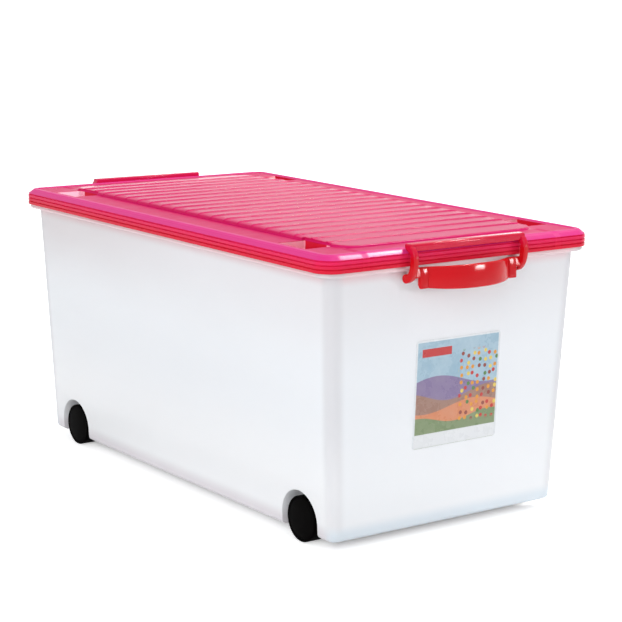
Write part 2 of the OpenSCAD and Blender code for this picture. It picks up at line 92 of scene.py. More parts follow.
def skin(rings):
    """Closed surface through a stack of closed rings of equal length, with a flat face on each end.

    rings has the shape (levels, points, 3). Quad k of level i joins points k and k + 1 of rings i and i + 1.
    """
    levels, points, _ = rings.shape
    start = np.arange(levels - 1)[:, None] * points
    here = np.arange(points)[None, :]
    after = (here + 1) % points
    quads = np.stack([start + here, start + after, start + points + after, start + points + here], -1)
    caps = [list(range(points))[::-1], list(range((levels - 1) * points, levels * points))]
    return rings.reshape(-1, 3), quads.reshape(-1, 4).tolist() + caps


def lathe(outline, axis_point, axis, steps=ROUND_STEPS):
    """Ring-shaped solid: a closed outline of (radius, height along the axis), turned right round the axis."""
    axis = np.asarray(axis, float)
    side = np.array([1.0, 0, 0]) if abs(axis[0]) < 0.5 else np.array([0, 1.0, 0])
    other = np.cross(axis, side)
    turn = np.arange(steps) * 2 * math.pi / steps
    spoke = np.cos(turn)[:, None] * side + np.sin(turn)[:, None] * other
    outline = np.asarray(outline, float)
    points = outline[None, :, 0, None] * spoke[:, None, :] + outline[None, :, 1, None] * axis
    rows, cols = points.shape[:2]
    row, col = np.arange(rows)[:, None], np.arange(cols)[None, :]
    after_row, after_col = (row + 1) % rows, (col + 1) % cols
    quads = np.stack([row * cols + col, after_row * cols + col,
                      after_row * cols + after_col, row * cols + after_col], -1)
    return points.reshape(-1, 3) + np.asarray(axis_point, float), quads.reshape(-1, 4).tolist()


def disc_lathe(outline, axis_point, axis, steps=ROUND_STEPS):
    """Solid of revolution without a bore: an open outline of (radius, height), closed by a flat face at each end."""
    axis = np.asarray(axis, float)
    side = np.array([1.0, 0, 0])
    other = np.cross(axis, side)
    turn = np.arange(steps) * 2 * math.pi / steps
    spoke = np.cos(turn)[:, None] * side + np.sin(turn)[:, None] * other
    outline = np.asarray(outline, float)
    rings = outline[:, None, 0, None] * spoke[None] + outline[:, None, 1, None] * axis
    return skin(rings + np.asarray(axis_point, float))


def rounded_rings(half_x, half_y, radius, z, steps=CORNER_STEPS):
    """Rounded rectangles, one per height: each corner's centre plus its radius times (cos, sin)."""
    half_x, half_y, radius, z = np.broadcast_arrays(
        *[np.atleast_1d(np.asarray(v, float)) for v in (half_x, half_y, radius, z)])
    turn = (np.arange(4)[:, None] * math.pi / 2 + np.linspace(0, math.pi / 2, steps + 1)).ravel()
    sign_x = np.repeat([1, -1, -1, 1], steps + 1)
    sign_y = np.repeat([1, 1, -1, -1], steps + 1)
    x = (half_x - radius)[:, None] * sign_x + radius[:, None] * np.cos(turn)
    y = (half_y - radius)[:, None] * sign_y + radius[:, None] * np.sin(turn)
    return np.stack([x, y, np.broadcast_to(z[:, None], x.shape)], -1)


def soften(outline, radii, steps=5):
    """Closed outline with its corners rounded: each corner becomes a quadratic curve

    (1-t)^2 a + 2t(1-t) corner + t^2 b, where a and b lie on its two sides, radius / tan(half angle) away.
    A corner of radius 0 stays one point.
    """
    outline = np.asarray(outline, float)
    radii = np.broadcast_to(np.asarray(radii, float), len(outline))
    back = np.roll(outline, 1, 0) - outline
    on = np.roll(outline, -1, 0) - outline
    back_len, on_len = np.linalg.norm(back, axis=1), np.linalg.norm(on, axis=1)
    back, on = back / back_len[:, None], on / on_len[:, None]
    half_angle = np.arccos(np.clip((back * on).sum(1), -1, 1)) / 2
    reach = np.minimum(radii / np.tan(half_angle), 0.49 * np.minimum(back_len, on_len))
    a, b = outline + back * reach[:, None], outline + on * reach[:, None]
    t = np.linspace(0, 1, steps + 1)[None, :, None]
    curve = (1 - t) ** 2 * a[:, None] + 2 * t * (1 - t) * outline[:, None] + t ** 2 * b[:, None]
    points = curve.reshape(-1, 2)
    return points[np.linalg.norm(points - np.roll(points, 1, 0), axis=1) > REPEAT]


def bar_along_y(outline, y0, y1, end_round=0.0, steps=4):
    """Prism of an outline in (x, z), from y0 to y1, whose ends shrink along a quarter circle to round them."""
    outline = np.asarray(outline, float)
    middle = (outline.max(0) + outline.min(0)) / 2
    half = (outline.max(0) - outline.min(0)) / 2
    turn = np.linspace(0, math.pi / 2, steps + 1)
    shrink = end_round * (1 - np.sin(turn)) if end_round else np.zeros(1)
    travel = end_round * (1 - np.cos(turn)) if end_round else np.zeros(1)
    y = np.concatenate([y0 + travel, (y1 - travel)[::-1]])
    shrink = np.concatenate([shrink, shrink[::-1]])
    share = 1 - shrink[:, None] / half[None, :]
    flat = middle + (outline - middle)[None] * share[:, None, :]
    return skin(np.stack([flat[..., 0], np.broadcast_to(y[:, None], flat.shape[:2]), flat[..., 1]], -1))


def joined(*shells):
    """Several closed surfaces as one list of points and faces."""
    points, faces, count = [], [], 0
    for verts, polys in shells:
        points.append(verts)
        faces += [[k + count for k in face] for face in polys]
        count += len(verts)
    return np.concatenate(points), faces


def mirrored(shell, sign_x, sign_y):
    """The same surface on the other side of the middle planes."""
    verts, faces = shell
    return verts * np.array([sign_x, sign_y, 1.0]), faces


def four_ways(shell):
    """A surface and its three mirror images, one at each corner of the box."""
    return joined(*[mirrored(shell, sx, sy) for sx in (1, -1) for sy in (1, -1)])


def solid(shell):
    """Scratch object of a closed surface in millimetres, with its faces turned outwards."""
    verts, faces = shell
    mesh = bpy.data.meshes.new("solid")
    mesh.from_pydata(verts.tolist(), [], faces)
    work = bmesh.new()
    work.from_mesh(mesh)
    bmesh.ops.recalc_face_normals(work, faces=work.faces)
    work.to_mesh(mesh)
    work.free()
    thing = bpy.data.objects.new("solid", mesh)
    bpy.context.scene.collection.objects.link(thing)
    return thing


def settle(thing):
    """Applies the modifiers of a scratch object."""
    bpy.context.view_layer.update()
    baked = bpy.data.meshes.new_from_object(thing.evaluated_get(bpy.context.evaluated_depsgraph_get()))
    thing.modifiers.clear()
    old = thing.data
    thing.data = baked
    bpy.data.meshes.remove(old)
    return thing


def combine(base, tool, operation):
    """Union, difference or intersection of two closed solids; the tool is used up."""
    step = base.modifiers.new("combine", "BOOLEAN")
    step.operation = operation
    step.solver = "MANIFOLD"
    step.object = tool
    settle(base)
    bpy.data.objects.remove(tool)
    return base


def break_edges(thing, width, angle=40.0, segments=2):
    """Rounds the edges that are sharper than the angle, as a mould leaves them."""
    step = thing.modifiers.new("edges", "BEVEL")
    step.width = width
    step.segments = segments
    step.limit_method = "ANGLE"
    step.angle_limit = math.radians(angle)
    step.harden_normals = False
    step.use_clamp_overlap = True
    return settle(thing)


def finish(thing, name, body, material, replaced, sharp=32.0):
    """Makes a scratch solid the finished piece: metres, smooth shading, material and body, with the CAD parts it
    replaces hidden.
    """
    mesh = thing.data
    mesh.transform(Matrix.Scale(MM, 4))
    mesh.shade_smooth()
    mesh.set_sharp_from_angle(angle=math.radians(sharp))
    mesh.materials.clear()
    mesh.materials.append(material)
    thing.name = name
    mesh.name = name
    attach(thing, body)
    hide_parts(*replaced)
    return thing


# ---------------------------------------------------------------- materials


class Shader:
    """A node tree in the making: each call adds a node and links or sets its inputs."""

    def __init__(self, name):
        self.material = bpy.data.materials.new(name)
        self.material.use_nodes = True
        self.tree = self.material.node_tree
        self.tree.nodes.clear()
        self.position = self.add("ShaderNodeTexCoord").outputs["Object"]

    def add(self, kind, inputs=None, **settings):
        node = self.tree.nodes.new(kind)
        for key, value in settings.items():
            setattr(node, key, value)
        for key, value in (inputs or {}).items():
            if isinstance(value, bpy.types.NodeSocket):
                self.tree.links.new(value, node.inputs[key])
            else:
                node.inputs[key].default_value = value
        return node

    def math(self, operation, *values, clamp=False):
        node = self.add("ShaderNodeMath", dict(enumerate(values)), operation=operation, use_clamp=clamp)
        return node.outputs[0]

    def smooth(self, value, low, high, to_low=0.0, to_high=1.0):
        node = self.add("ShaderNodeMapRange", {"Value": value, "From Min": low, "From Max": high,
                                               "To Min": to_low, "To Max": to_high},
                        interpolation_type="SMOOTHSTEP")
        return node.outputs["Result"]

    def mix(self, share, first, second, blend="MIX"):
        node = self.add("ShaderNodeMix", data_type="RGBA", blend_type=blend)
        for key, value in ((0, share), (6, first), (7, second)):
            if isinstance(value, bpy.types.NodeSocket):
                self.tree.links.new(value, node.inputs[key])
            else:
                node.inputs[key].default_value = value
        return node.outputs[2]

    def noise(self, scale, detail=2.0, roughness=0.5, stretch=(1, 1, 1), position=None):
        place = self.add("ShaderNodeMapping", {"Vector": position or self.position, "Scale": stretch})
        node = self.add("ShaderNodeTexNoise", {"Vector": place.outputs[0], "Scale": scale,
                                               "Detail": detail, "Roughness": roughness})
        return node.outputs["Fac"]

    def axes(self, vector=None):
        node = self.add("ShaderNodeSeparateXYZ", {0: vector or self.position})
        return node.outputs[0], node.outputs[1], node.outputs[2]

    def bump(self, height, strength, distance):
        node = self.add("ShaderNodeBump", {"Height": height, "Strength": strength, "Distance": distance})
        return node.outputs[0]

    def principled(self, **inputs):
        named = {key.replace("_", " "): value for key, value in inputs.items()}
        node = self.add("ShaderNodeBsdfPrincipled", named)
        out = self.add("ShaderNodeOutputMaterial")
        self.tree.links.new(node.outputs[0], out.inputs["Surface"])
        return self.material


def linear(red, green, blue):
    """Colour for a shader from 0-255 display values."""
    values = [v / 255 for v in (red, green, blue)]
    return tuple(v / 12.92 if v <= 0.04045 else ((v + 0.055) / 1.055) ** 2.4 for v in values) + (1.0,)


def milky_polypropylene():
    """Translucent white wall, cooler where the tub's floor backs it, with painted light: a painted shadow and pink
    reflection of the lid under the rim, left white behind the grip, painted shade in the corners and a paler lower
    wall painted as light from the floor.
    """
    sh = Shader("milky_polypropylene")
    x, y, z = sh.axes()
    clouds = sh.noise(3.2, 3, 0.5)
    base = sh.mix(clouds, linear(240, 241, 245), linear(233, 236, 241))
    side_wall = sh.smooth(sh.math("ABSOLUTE", sh.math("MULTIPLY", x, 1.0)), 0.262, 0.279, 1.0, 0.0)
    # Painted shadow of the lid: the upper wall greys towards the rim, more towards the rear end (painted shade).
    drift = sh.math("MULTIPLY", sh.math("SUBTRACT", clouds, 0.5), 0.05)
    painted_lid_shadow = sh.smooth(sh.math("ADD", z, drift), 0.170, 0.272)
    shade = sh.smooth(x, 0.10, -0.25, 0.42, 0.90)
    base = sh.mix(sh.math("MULTIPLY", painted_lid_shadow, shade), base, linear(213, 206, 208))
    # Painted reflection of the pink lid on the wall just under the rim; left out behind the grip, so that the gap
    # there stays white like a lit patch.
    painted_lid_reflection = sh.smooth(z, 0.262, 0.275)
    painted_lit_gap = sh.math("MULTIPLY", sh.smooth(x, 0.280, 0.290), sh.smooth(sh.math("ABSOLUTE", y), 0.064, 0.056))
    painted_pink_share = sh.smooth(painted_lit_gap, 0.0, 1.0, 0.64, 0.0)
    base = sh.mix(sh.math("MULTIPLY", painted_lid_reflection, painted_pink_share), base, linear(226, 178, 184))
    # Painted shade: the rounded upright corners greyer.
    into_x = sh.math("SUBTRACT", sh.math("ABSOLUTE", x), sh.math("ADD", sh.math("MULTIPLY", z, END_SLOPE), 0.2655))
    into_y = sh.math("SUBTRACT", sh.math("ABSOLUTE", y), sh.math("ADD", sh.math("MULTIPLY", z, SIDE_SLOPE), 0.1280))
    corner = sh.math("MULTIPLY", sh.smooth(into_x, -0.005, 0.008), sh.smooth(into_y, -0.005, 0.008))
    base = sh.mix(sh.math("MULTIPLY", corner, 0.7), base, linear(206, 204, 208))
    # Painted light from the floor: the lower wall paler, more on the long sides than at the ends.
    low = sh.math("MULTIPLY", sh.smooth(z, 0.150, 0.050), sh.smooth(side_wall, 0.0, 1.0, 0.4, 0.8))
    base = sh.mix(low, base, linear(249, 249, 251))
    foot = sh.smooth(z, 0.0305, 0.0160)
    foot_colour = sh.mix(side_wall, linear(219, 229, 238), linear(225, 219, 224))
    base = sh.mix(sh.math("MULTIPLY", foot, 0.9), base, foot_colour)
    flow = sh.noise(46, 4, 0.6, stretch=(0.25, 0.25, 3.0))
    roughness = sh.smooth(flow, 0.3, 0.7, 0.32, 0.42)
    peel = sh.noise(900, 2)
    return sh.principled(
        Base_Color=base, Roughness=roughness, IOR=1.49,
        Subsurface_Weight=0.25, Subsurface_Radius=(1.0, 0.9, 0.85), Subsurface_Scale=0.006,
        Normal=sh.bump(peel, 0.08, 0.0002))


def glossy_plastic(name, deep, bright, low_rough, high_rough, grain=1400.0, index=1.47):
    """Coloured polypropylene: slow colour drift, faint flow marks in the gloss, fine moulded grain."""
    sh = Shader(name)
    drift = sh.noise(9, 3, 0.55)
    colour = sh.mix(drift, deep, bright)
    flow = sh.noise(60, 4, 0.6, stretch=(1, 0.35, 1))
    roughness = sh.smooth(flow, 0.3, 0.7, low_rough, high_rough)
    fine = sh.noise(grain, 3, 0.6)
    return sh.principled(Base_Color=colour, Roughness=roughness, IOR=index,
                         Normal=sh.bump(fine, 0.10, 0.00015))


def rose_polypropylene():
    """Pink lid: a magenta top, channel and bevel, partly its own pink and partly a painted reflection of the sky; a
    redder skirt; painted highlights on the pocket ends; slow drift and fine grain.
    """
    sh = Shader("rose_polypropylene")
    x, y, z = sh.axes()
    drift = sh.noise(9, 3, 0.55)
    skirt_foot = sh.mix(drift, linear(215, 28, 54), linear(224, 36, 64))
    skirt_head = sh.mix(drift, linear(228, 36, 90), linear(236, 44, 100))
    skirt = sh.mix(sh.smooth(z, 0.2795, 0.2905), skirt_foot, skirt_head)
    # The top's magenta is partly the lid's own pink and partly a painted reflection of the sky.
    top = sh.mix(drift, linear(206, 14, 92), linear(216, 24, 104))
    pocket_walls = sh.mix(drift, linear(214, 26, 56), linear(222, 34, 66))
    colour = sh.mix(sh.smooth(z, 0.2900, 0.2915), skirt, top)
    across = sh.math("ABSOLUTE", y)
    along = sh.math("ABSOLUTE", x)
    past = sh.math("MAXIMUM", sh.math("SUBTRACT", across, (LID_HALF_WIDTH - 12.0) * MM),
                   sh.math("SUBTRACT", along, (LID_HALF_LENGTH - 12.0) * MM))
    on_border = sh.smooth(past, -0.0006, 0.0)
    # Painted reflection of the sky on the lid's pink: the channel, and more the bevel, turn magenta.
    channel = sh.math("MULTIPLY", sh.smooth(z, 0.2950, 0.2954), sh.smooth(z, 0.2964, 0.2960))
    colour = sh.mix(channel, colour, sh.mix(drift, linear(215, 34, 114), linear(224, 44, 126)))
    bevel = sh.math("MULTIPLY", sh.smooth(z, 0.2908, 0.2914), sh.smooth(z, 0.2964, 0.2960))
    colour = sh.mix(sh.math("MULTIPLY", bevel, on_border), colour, sh.mix(drift, linear(220, 52, 132), linear(229, 60, 142)))
    flat = sh.math("MULTIPLY", on_border, sh.smooth(z, 0.2960, 0.2962))
    colour = sh.mix(flat, colour, linear(194, 6, 92))
    inside = sh.math("MULTIPLY", sh.smooth(across, 0.1545, 0.1535), sh.smooth(z, 0.2950, 0.2942))
    inside = sh.math("MULTIPLY", inside, sh.smooth(along, 0.2480, 0.2475))
    colour = sh.mix(inside, colour, pocket_walls)
    # Painted highlight: the pocket's inner end wall, and on the -Y side its sloped end, pale pink-white.
    painted_pocket_highlight = sh.math("MULTIPLY", sh.smooth(along, 0.2020, 0.2016), sh.smooth(along, 0.2002, 0.2006))
    slope = sh.math("MULTIPLY", sh.smooth(along, 0.2366, 0.2374), sh.smooth(y, 0.01, -0.01))
    painted_pocket_highlight = sh.math("MAXIMUM", painted_pocket_highlight, slope)
    colour = sh.mix(sh.math("MULTIPLY", inside, painted_pocket_highlight), colour, linear(255, 196, 216))
    flow = sh.noise(60, 4, 0.6, stretch=(1, 0.35, 1))
    roughness = sh.smooth(flow, 0.3, 0.7, 0.17, 0.22)
    beside_panel = sh.math("MAXIMUM", sh.smooth(across, 0.1240, 0.1250), sh.smooth(along, 0.2650, 0.2660))
    matte = sh.math("MULTIPLY", beside_panel, sh.smooth(sh.math("SUBTRACT", 0.2966, z), 0.0, 0.0004))
    matte = sh.math("MULTIPLY", matte, sh.smooth(z, 0.2940, 0.2948))
    roughness = sh.math("ADD", roughness, sh.math("MULTIPLY", matte, 0.20))
    rib_ends = sh.math("MULTIPLY", sh.smooth(across, 0.1160, 0.1185), sh.smooth(across, 0.1250, 0.1240))
    roughness = sh.math("ADD", roughness, sh.math("MULTIPLY", rib_ends, 0.16))
    roughness = sh.math("ADD", roughness, sh.math("MULTIPLY", flat, 0.20))
    fine = sh.noise(1400, 3, 0.6)
    return sh.principled(Base_Color=colour, Roughness=roughness, IOR=1.18,
                         Normal=sh.bump(fine, 0.06, 0.00015))


def red_polypropylene():
    """Red clip: a pinker hook bar beside the lid, a painted reflection, pinker still on the rear clip; slight flow
    marks in a high gloss.
    """
    sh = Shader("red_polypropylene")
    x, _, z = sh.axes()
    drift = sh.noise(9, 3, 0.55)
    grip = sh.mix(drift, linear(198, 10, 20), linear(210, 16, 30))
    # Painted reflection: the hook bar pinker than the grip. The rear clip's bar is pinker still.
    bar = sh.mix(drift, linear(204, 12, 50), linear(214, 20, 64))
    bar = sh.mix(sh.smooth(x, 0.1, -0.1), bar, linear(212, 26, 84))
    colour = sh.mix(sh.smooth(z, 0.284, 0.294), grip, bar)
    flow = sh.noise(60, 4, 0.6, stretch=(1, 0.35, 1))
    roughness = sh.smooth(flow, 0.3, 0.7, 0.08, 0.12)
    fine = sh.noise(1400, 3, 0.6)
    return sh.principled(Base_Color=colour, Roughness=roughness, IOR=1.26,
                         Normal=sh.bump(fine, 0.06, 0.00015))


def zinc_steel():
    """Zinc-plated pin: turned rings in the roughness, slight cloudiness."""
    sh = Shader("zinc_steel")
    x, y, z = sh.axes()
    rings = sh.noise(2600, 2, 0.5, stretch=(0.02, 1, 0.02))
    clouds = sh.noise(120, 3)
    colour = sh.mix(clouds, linear(176, 178, 182), linear(205, 206, 208))
    roughness = sh.smooth(rings, 0.25, 0.75, 0.22, 0.42)
    return sh.principled(Base_Color=colour, Metallic=1.0, Roughness=roughness,
                         Normal=sh.bump(rings, 0.15, 0.0001))


def printed_film():
    """Printed sticker: white margin, soft blue ground, rolling bands of colour and a field of dots."""
    sh = Shader("printed_film")
    uv = sh.add("ShaderNodeUVMap", uv_map="UVMap").outputs[0]
    u, v, _ = sh.axes(uv)
    wash = sh.noise(5, 5, 0.65, position=uv)
    colour = sh.mix(wash, linear(120, 168, 196), linear(214, 232, 240))

    def hill(level, swing, waves, phase, tint):
        wave = sh.math("SINE", sh.math("ADD", sh.math("MULTIPLY", u, waves), phase))
        line = sh.math("ADD", sh.math("MULTIPLY", wave, swing), level)
        below = sh.smooth(sh.math("SUBTRACT", line, v), 0.0, 0.006)
        return below, tint

    for level, swing, waves, phase, tint in (
        (0.60, 0.060, 5.0, 0.3, linear(112, 84, 150)),
        (0.47, 0.050, 6.5, 2.1, linear(150, 92, 70)),
        (0.36, 0.045, 5.5, 4.0, linear(226, 120, 52)),
        (0.25, 0.035, 7.5, 1.2, linear(96, 128, 62)),
    ):
        below, tint = hill(level, swing, waves, phase, tint)
        shade = sh.mix(wash, tint, linear(250, 240, 225))
        colour = sh.mix(below, colour, sh.mix(0.72, shade, tint))
    cells = sh.add("ShaderNodeTexVoronoi", {"Vector": uv, "Scale": 15.0, "Randomness": 0.55},
                   voronoi_dimensions="2D")
    dots = sh.smooth(cells.outputs["Distance"], 0.30, 0.26)
    pick = sh.add("ShaderNodeSeparateColor", {0: cells.outputs["Color"]}).outputs[0]
    ramp = sh.add("ShaderNodeValToRGB", {0: pick})
    ramp.color_ramp.interpolation = "CONSTANT"
    stops = ((0.0, linear(206, 40, 34)), (0.28, linear(240, 158, 40)),
             (0.52, linear(150, 60, 44)), (0.72, linear(246, 214, 96)), (0.88, linear(84, 130, 60)))
    ramp.color_ramp.elements[1].position = stops[1][0]
    for place, tint in stops[2:]:
        ramp.color_ramp.elements.new(place)
    for element, (place, tint) in zip(ramp.color_ramp.elements, stops):
        element.position = place
        element.color = tint
    reach_u = sh.smooth(u, 0.50, 0.54)
    reach_v = sh.math("MULTIPLY", sh.smooth(v, 0.18, 0.22), sh.smooth(v, 0.88, 0.84))
    field = sh.math("MULTIPLY", dots, sh.math("MULTIPLY", reach_u, reach_v))
    colour = sh.mix(field, colour, ramp.outputs[0])

    def panel(u0, u1, v0, v1, tint, into):
        inside_u = sh.math("MULTIPLY", sh.smooth(u, u0, u0 + 0.004), sh.smooth(u, u1, u1 - 0.004))
        inside_v = sh.math("MULTIPLY", sh.smooth(v, v0, v0 + 0.004), sh.smooth(v, v1, v1 - 0.004))
        return sh.mix(sh.math("MULTIPLY", inside_u, inside_v), into, tint)

    colour = panel(0.07, 0.42, 0.84, 0.92, linear(206, 34, 36), colour)
    colour = panel(0.0, 1.0, 0.0, 0.13, linear(246, 246, 247), colour)
    edge = sh.math("MINIMUM", sh.math("MINIMUM", u, sh.math("SUBTRACT", 1.0, u)),
                   sh.math("SUBTRACT", 1.0, v))
    colour = sh.mix(sh.smooth(edge, 0.022, 0.016), colour, linear(244, 245, 247))
    grain = sh.noise(1500, 2)
    colour = sh.mix(1.0, colour, linear(230, 232, 234), blend="MULTIPLY")
    return sh.principled(Base_Color=colour, Roughness=sh.smooth(wash, 0.2, 0.8, 0.24, 0.32), IOR=1.5,
                         Normal=sh.bump(grain, 0.04, 0.0001))


# ---------------------------------------------------------------- sizes from the frame, in millimetres

tub_low, tub_high = corners("tub")
lid_low, lid_high = corners("lid")
wheel_low, wheel_high = corners("wheel_front_left")
label_low, label_high = corners("label")
clip_low, clip_high = corners("clip_handle_front")

TUB_HALF_LENGTH = 279.5
TUB_HALF_WIDTH = 142.0
END_SLOPE = math.tan(math.radians(2.43))
SIDE_SLOPE = math.tan(math.radians(2.92))
TUB_WALL = 2.2
TUB_FLOOR = 2.5
BOTTOM_ROUND = 5.0
TUB_CORNER = 9.0
CORNER_GROWTH = 3.0
RIM_CORNER = 17.0
RIM_HEIGHT = 16.5
Z_FLOOR = tub_low.z
Z_RIM_TOP = tub_high.z
Z_SHELF = Z_RIM_TOP - RIM_HEIGHT
LID_SKIRT_AND_GAP = 3.0
LID_HALF_LENGTH = lid_high.x
LID_HALF_WIDTH = lid_high.y
RIM_HALF_LENGTH = LID_HALF_LENGTH - LID_SKIRT_AND_GAP
RIM_HALF_WIDTH = LID_HALF_WIDTH - LID_SKIRT_AND_GAP

WHEEL_RADIUS = (wheel_high.z - wheel_low.z) / 2
WHEEL_WIDTH = wheel_high.y - wheel_low.y
WHEEL_X = (wheel_high.x + wheel_low.x) / 2
WHEEL_FACE = wheel_high.y
WELL_CLEAR = 4.0
ARCH_RADIUS = WHEEL_RADIUS + 6.6
WELL_DEPTH_Y = WHEEL_FACE - WHEEL_WIDTH - WELL_CLEAR
BOSS_RADIUS = 7.0
BOSS_FACE = WHEEL_FACE - WHEEL_WIDTH - 0.5
AXLE_RADIUS = 3.0
AXLE_HOLD = 16.0


def half_length(z):
    """Half length of the tapered tub at a height."""
    return TUB_HALF_LENGTH + (z - Z_FLOOR) * END_SLOPE


def half_width(z):
    """Half width of the tapered tub at a height."""
    return TUB_HALF_WIDTH + (z - Z_FLOOR) * SIDE_SLOPE


def wall_corner(z):
    """Radius of the upright corners, which widen towards the rim."""
    return TUB_CORNER + CORNER_GROWTH * (z - Z_FLOOR) / (Z_SHELF - Z_FLOOR)


TUB_PLASTIC = milky_polypropylene()
LID_PLASTIC = rose_polypropylene()
CLIP_PLASTIC = red_polypropylene()
WHEEL_PLASTIC = glossy_plastic("black_polypropylene", linear(4, 3, 3), linear(7, 6, 6), 0.42, 0.55, index=1.04)
CAP_PLASTIC = glossy_plastic("black_cap_polypropylene", linear(5, 4, 4), linear(8, 7, 7), 0.38, 0.5, index=1.05)
AXLE_STEEL = zinc_steel()
LABEL_FILM = printed_film()

# ---------------------------------------------------------------- tub


def quarter(steps=6):
    """Angles of a quarter turn."""
    return np.linspace(0, math.pi / 2, steps + 1)


def wall_rings(z, inset):
    """Rings of the tapered wall, drawn in by an inset (out where it is negative)."""
    z, inset = np.broadcast_arrays(np.asarray(z, float), np.asarray(inset, float))
    return rounded_rings(half_length(z) - inset, half_width(z) - inset, wall_corner(z) - inset, z)


def rim_rings(z, inset):
    """Rings of the stepped rim, drawn in by an inset."""
    z, inset = np.broadcast_arrays(np.asarray(z, float), np.asarray(inset, float))
    return rounded_rings(RIM_HALF_LENGTH - inset, RIM_HALF_WIDTH - inset, RIM_CORNER - inset, z)


def tub_outer():
    """Outside of the tub: rounded foot, tapered wall, cove under the shelf, beaded rim.

    The bead's points are (height above the shelf, distance drawn in).
    """
    a = quarter(8)
    cove, top = 2.0, 0.8
    bead = np.array([[0.0, 1.5], [0.25, 0.75], [0.7, 0.15], [1.3, -0.3], [2.0, -0.5], [2.7, -0.4], [3.4, -0.15], [4.2, 0.0]])
    levels = np.linspace(Z_FLOOR + BOTTOM_ROUND + 6, Z_SHELF - cove - 1, 7)
    b = quarter(4)
    return skin(np.concatenate([
        wall_rings(Z_FLOOR + BOTTOM_ROUND * (1 - np.cos(a)), BOTTOM_ROUND * (1 - np.sin(a))),
        wall_rings(levels, np.zeros(len(levels))),
        wall_rings(Z_SHELF - cove + cove * np.sin(b), -cove * (1 - np.cos(b))),
        rim_rings(Z_SHELF + bead[:, 0], bead[:, 1]),
        rim_rings(Z_RIM_TOP - top + top * np.sin(b), top * (1 - np.cos(b))),
    ]))


def tub_hollow():
    """Inside of the tub: rounded floor edge, wall, inner shelf, inside of the rim and its rounded lip."""
    a = quarter(6)
    b = quarter(4)
    inner_round = BOTTOM_ROUND - TUB_WALL
    soft, top, above = 1.0, 0.8, 3.0
    z_inner = Z_FLOOR + TUB_FLOOR
    z_shelf_in = Z_SHELF + TUB_WALL
    return skin(np.concatenate([
        wall_rings(z_inner + inner_round * (1 - np.cos(a)), TUB_WALL + inner_round * (1 - np.sin(a))),
        wall_rings(z_shelf_in - soft * (1 - np.sin(b)), TUB_WALL - soft * (1 - np.cos(b))),
        rim_rings(z_shelf_in + soft * (1 - np.cos(b)), TUB_WALL + soft * (1 - np.sin(b))),
        rim_rings(Z_RIM_TOP - top + top * np.sin(b), TUB_WALL - top * (1 - np.cos(b))),
        rim_rings([Z_RIM_TOP + above], [TUB_WALL - top]),
    ]))


def wheel_arch(grow):
    """Space over one wheel: half a cylinder with straight sides down through the underside."""
    radius = ARCH_RADIUS + grow
    turn = np.linspace(0, math.pi, 41)
    arch = np.stack([WHEEL_X + radius * np.cos(turn), WHEEL_RADIUS + radius * np.sin(turn)], -1)
    foot = np.array([[WHEEL_X - radius, Z_FLOOR - 4], [WHEEL_X + radius, Z_FLOOR - 4]])
    return bar_along_y(np.concatenate([arch, foot]), WELL_DEPTH_Y - grow, WHEEL_FACE + 30)


def round_bar(x, z, radius, y0, y1, end_round=0.0):
    """Round bar along Y, with rounded or square ends."""
    turn = np.arange(48) * 2 * math.pi / 48
    outline = np.stack([x + radius * np.cos(turn), z + radius * np.sin(turn)], -1)
    return bar_along_y(outline, y0, y1, end_round)


EYE_RADIUS = 4.5
HINGE_DROP = 7.5
Z_HINGE = Z_SHELF - HINGE_DROP
X_HINGE = half_length(Z_HINGE) + 1.2 + EYE_RADIUS
LUG_OUT = 65.5
LUG_WIDTH = 5.1


def hinge_lug():
    """Lug under the shelf: a round eye that carries on up into the rim and back into the wall."""
    turn = np.linspace(-math.pi / 2, math.radians(77), 22)
    eye = np.stack([X_HINGE + EYE_RADIUS * np.cos(turn), Z_HINGE + EYE_RADIUS * np.sin(turn)], -1)
    back = half_length(Z_HINGE) - TUB_WALL / 2
    rest = np.array([[X_HINGE + 1, Z_SHELF + 1], [back, Z_SHELF + 1], [back, Z_HINGE - EYE_RADIUS]])
    return bar_along_y(np.concatenate([eye, rest]), LUG_OUT - LUG_WIDTH, LUG_OUT)


def make_tub():
    """Tub: outer form less the hollow, with lined wheel arches, axle bosses and the clips' lugs."""
    hollow = solid(tub_hollow())
    combine(hollow, solid(four_ways(wheel_arch(TUB_WALL))), "DIFFERENCE")
    inner_boss = round_bar(WHEEL_X, WHEEL_RADIUS, BOSS_RADIUS, BOSS_FACE - AXLE_HOLD - 2, WHEEL_FACE)
    combine(hollow, solid(four_ways(inner_boss)), "DIFFERENCE")
    tub = combine(solid(tub_outer()), hollow, "DIFFERENCE")
    combine(tub, solid(four_ways(wheel_arch(0.0))), "DIFFERENCE")
    boss = round_bar(WHEEL_X, WHEEL_RADIUS, BOSS_RADIUS, WELL_DEPTH_Y - 1, BOSS_FACE)
    combine(tub, solid(four_ways(boss)), "UNION")
    combine(tub, solid(four_ways(hinge_lug())), "UNION")
    bore = round_bar(WHEEL_X, WHEEL_RADIUS, AXLE_RADIUS, BOSS_FACE - AXLE_HOLD, BOSS_FACE + 1)
    combine(tub, solid(four_ways(bore)), "DIFFERENCE")
    pin_hole = round_bar(X_HINGE, Z_HINGE, 2.55, LUG_OUT - LUG_WIDTH - 1, LUG_OUT + 1)
    combine(tub, solid(four_ways(pin_hole)), "DIFFERENCE")
    break_edges(tub, 0.5)
    return finish(tub, "tub_shell", "tub", TUB_PLASTIC, ["tub"])


# ---------------------------------------------------------------- lid

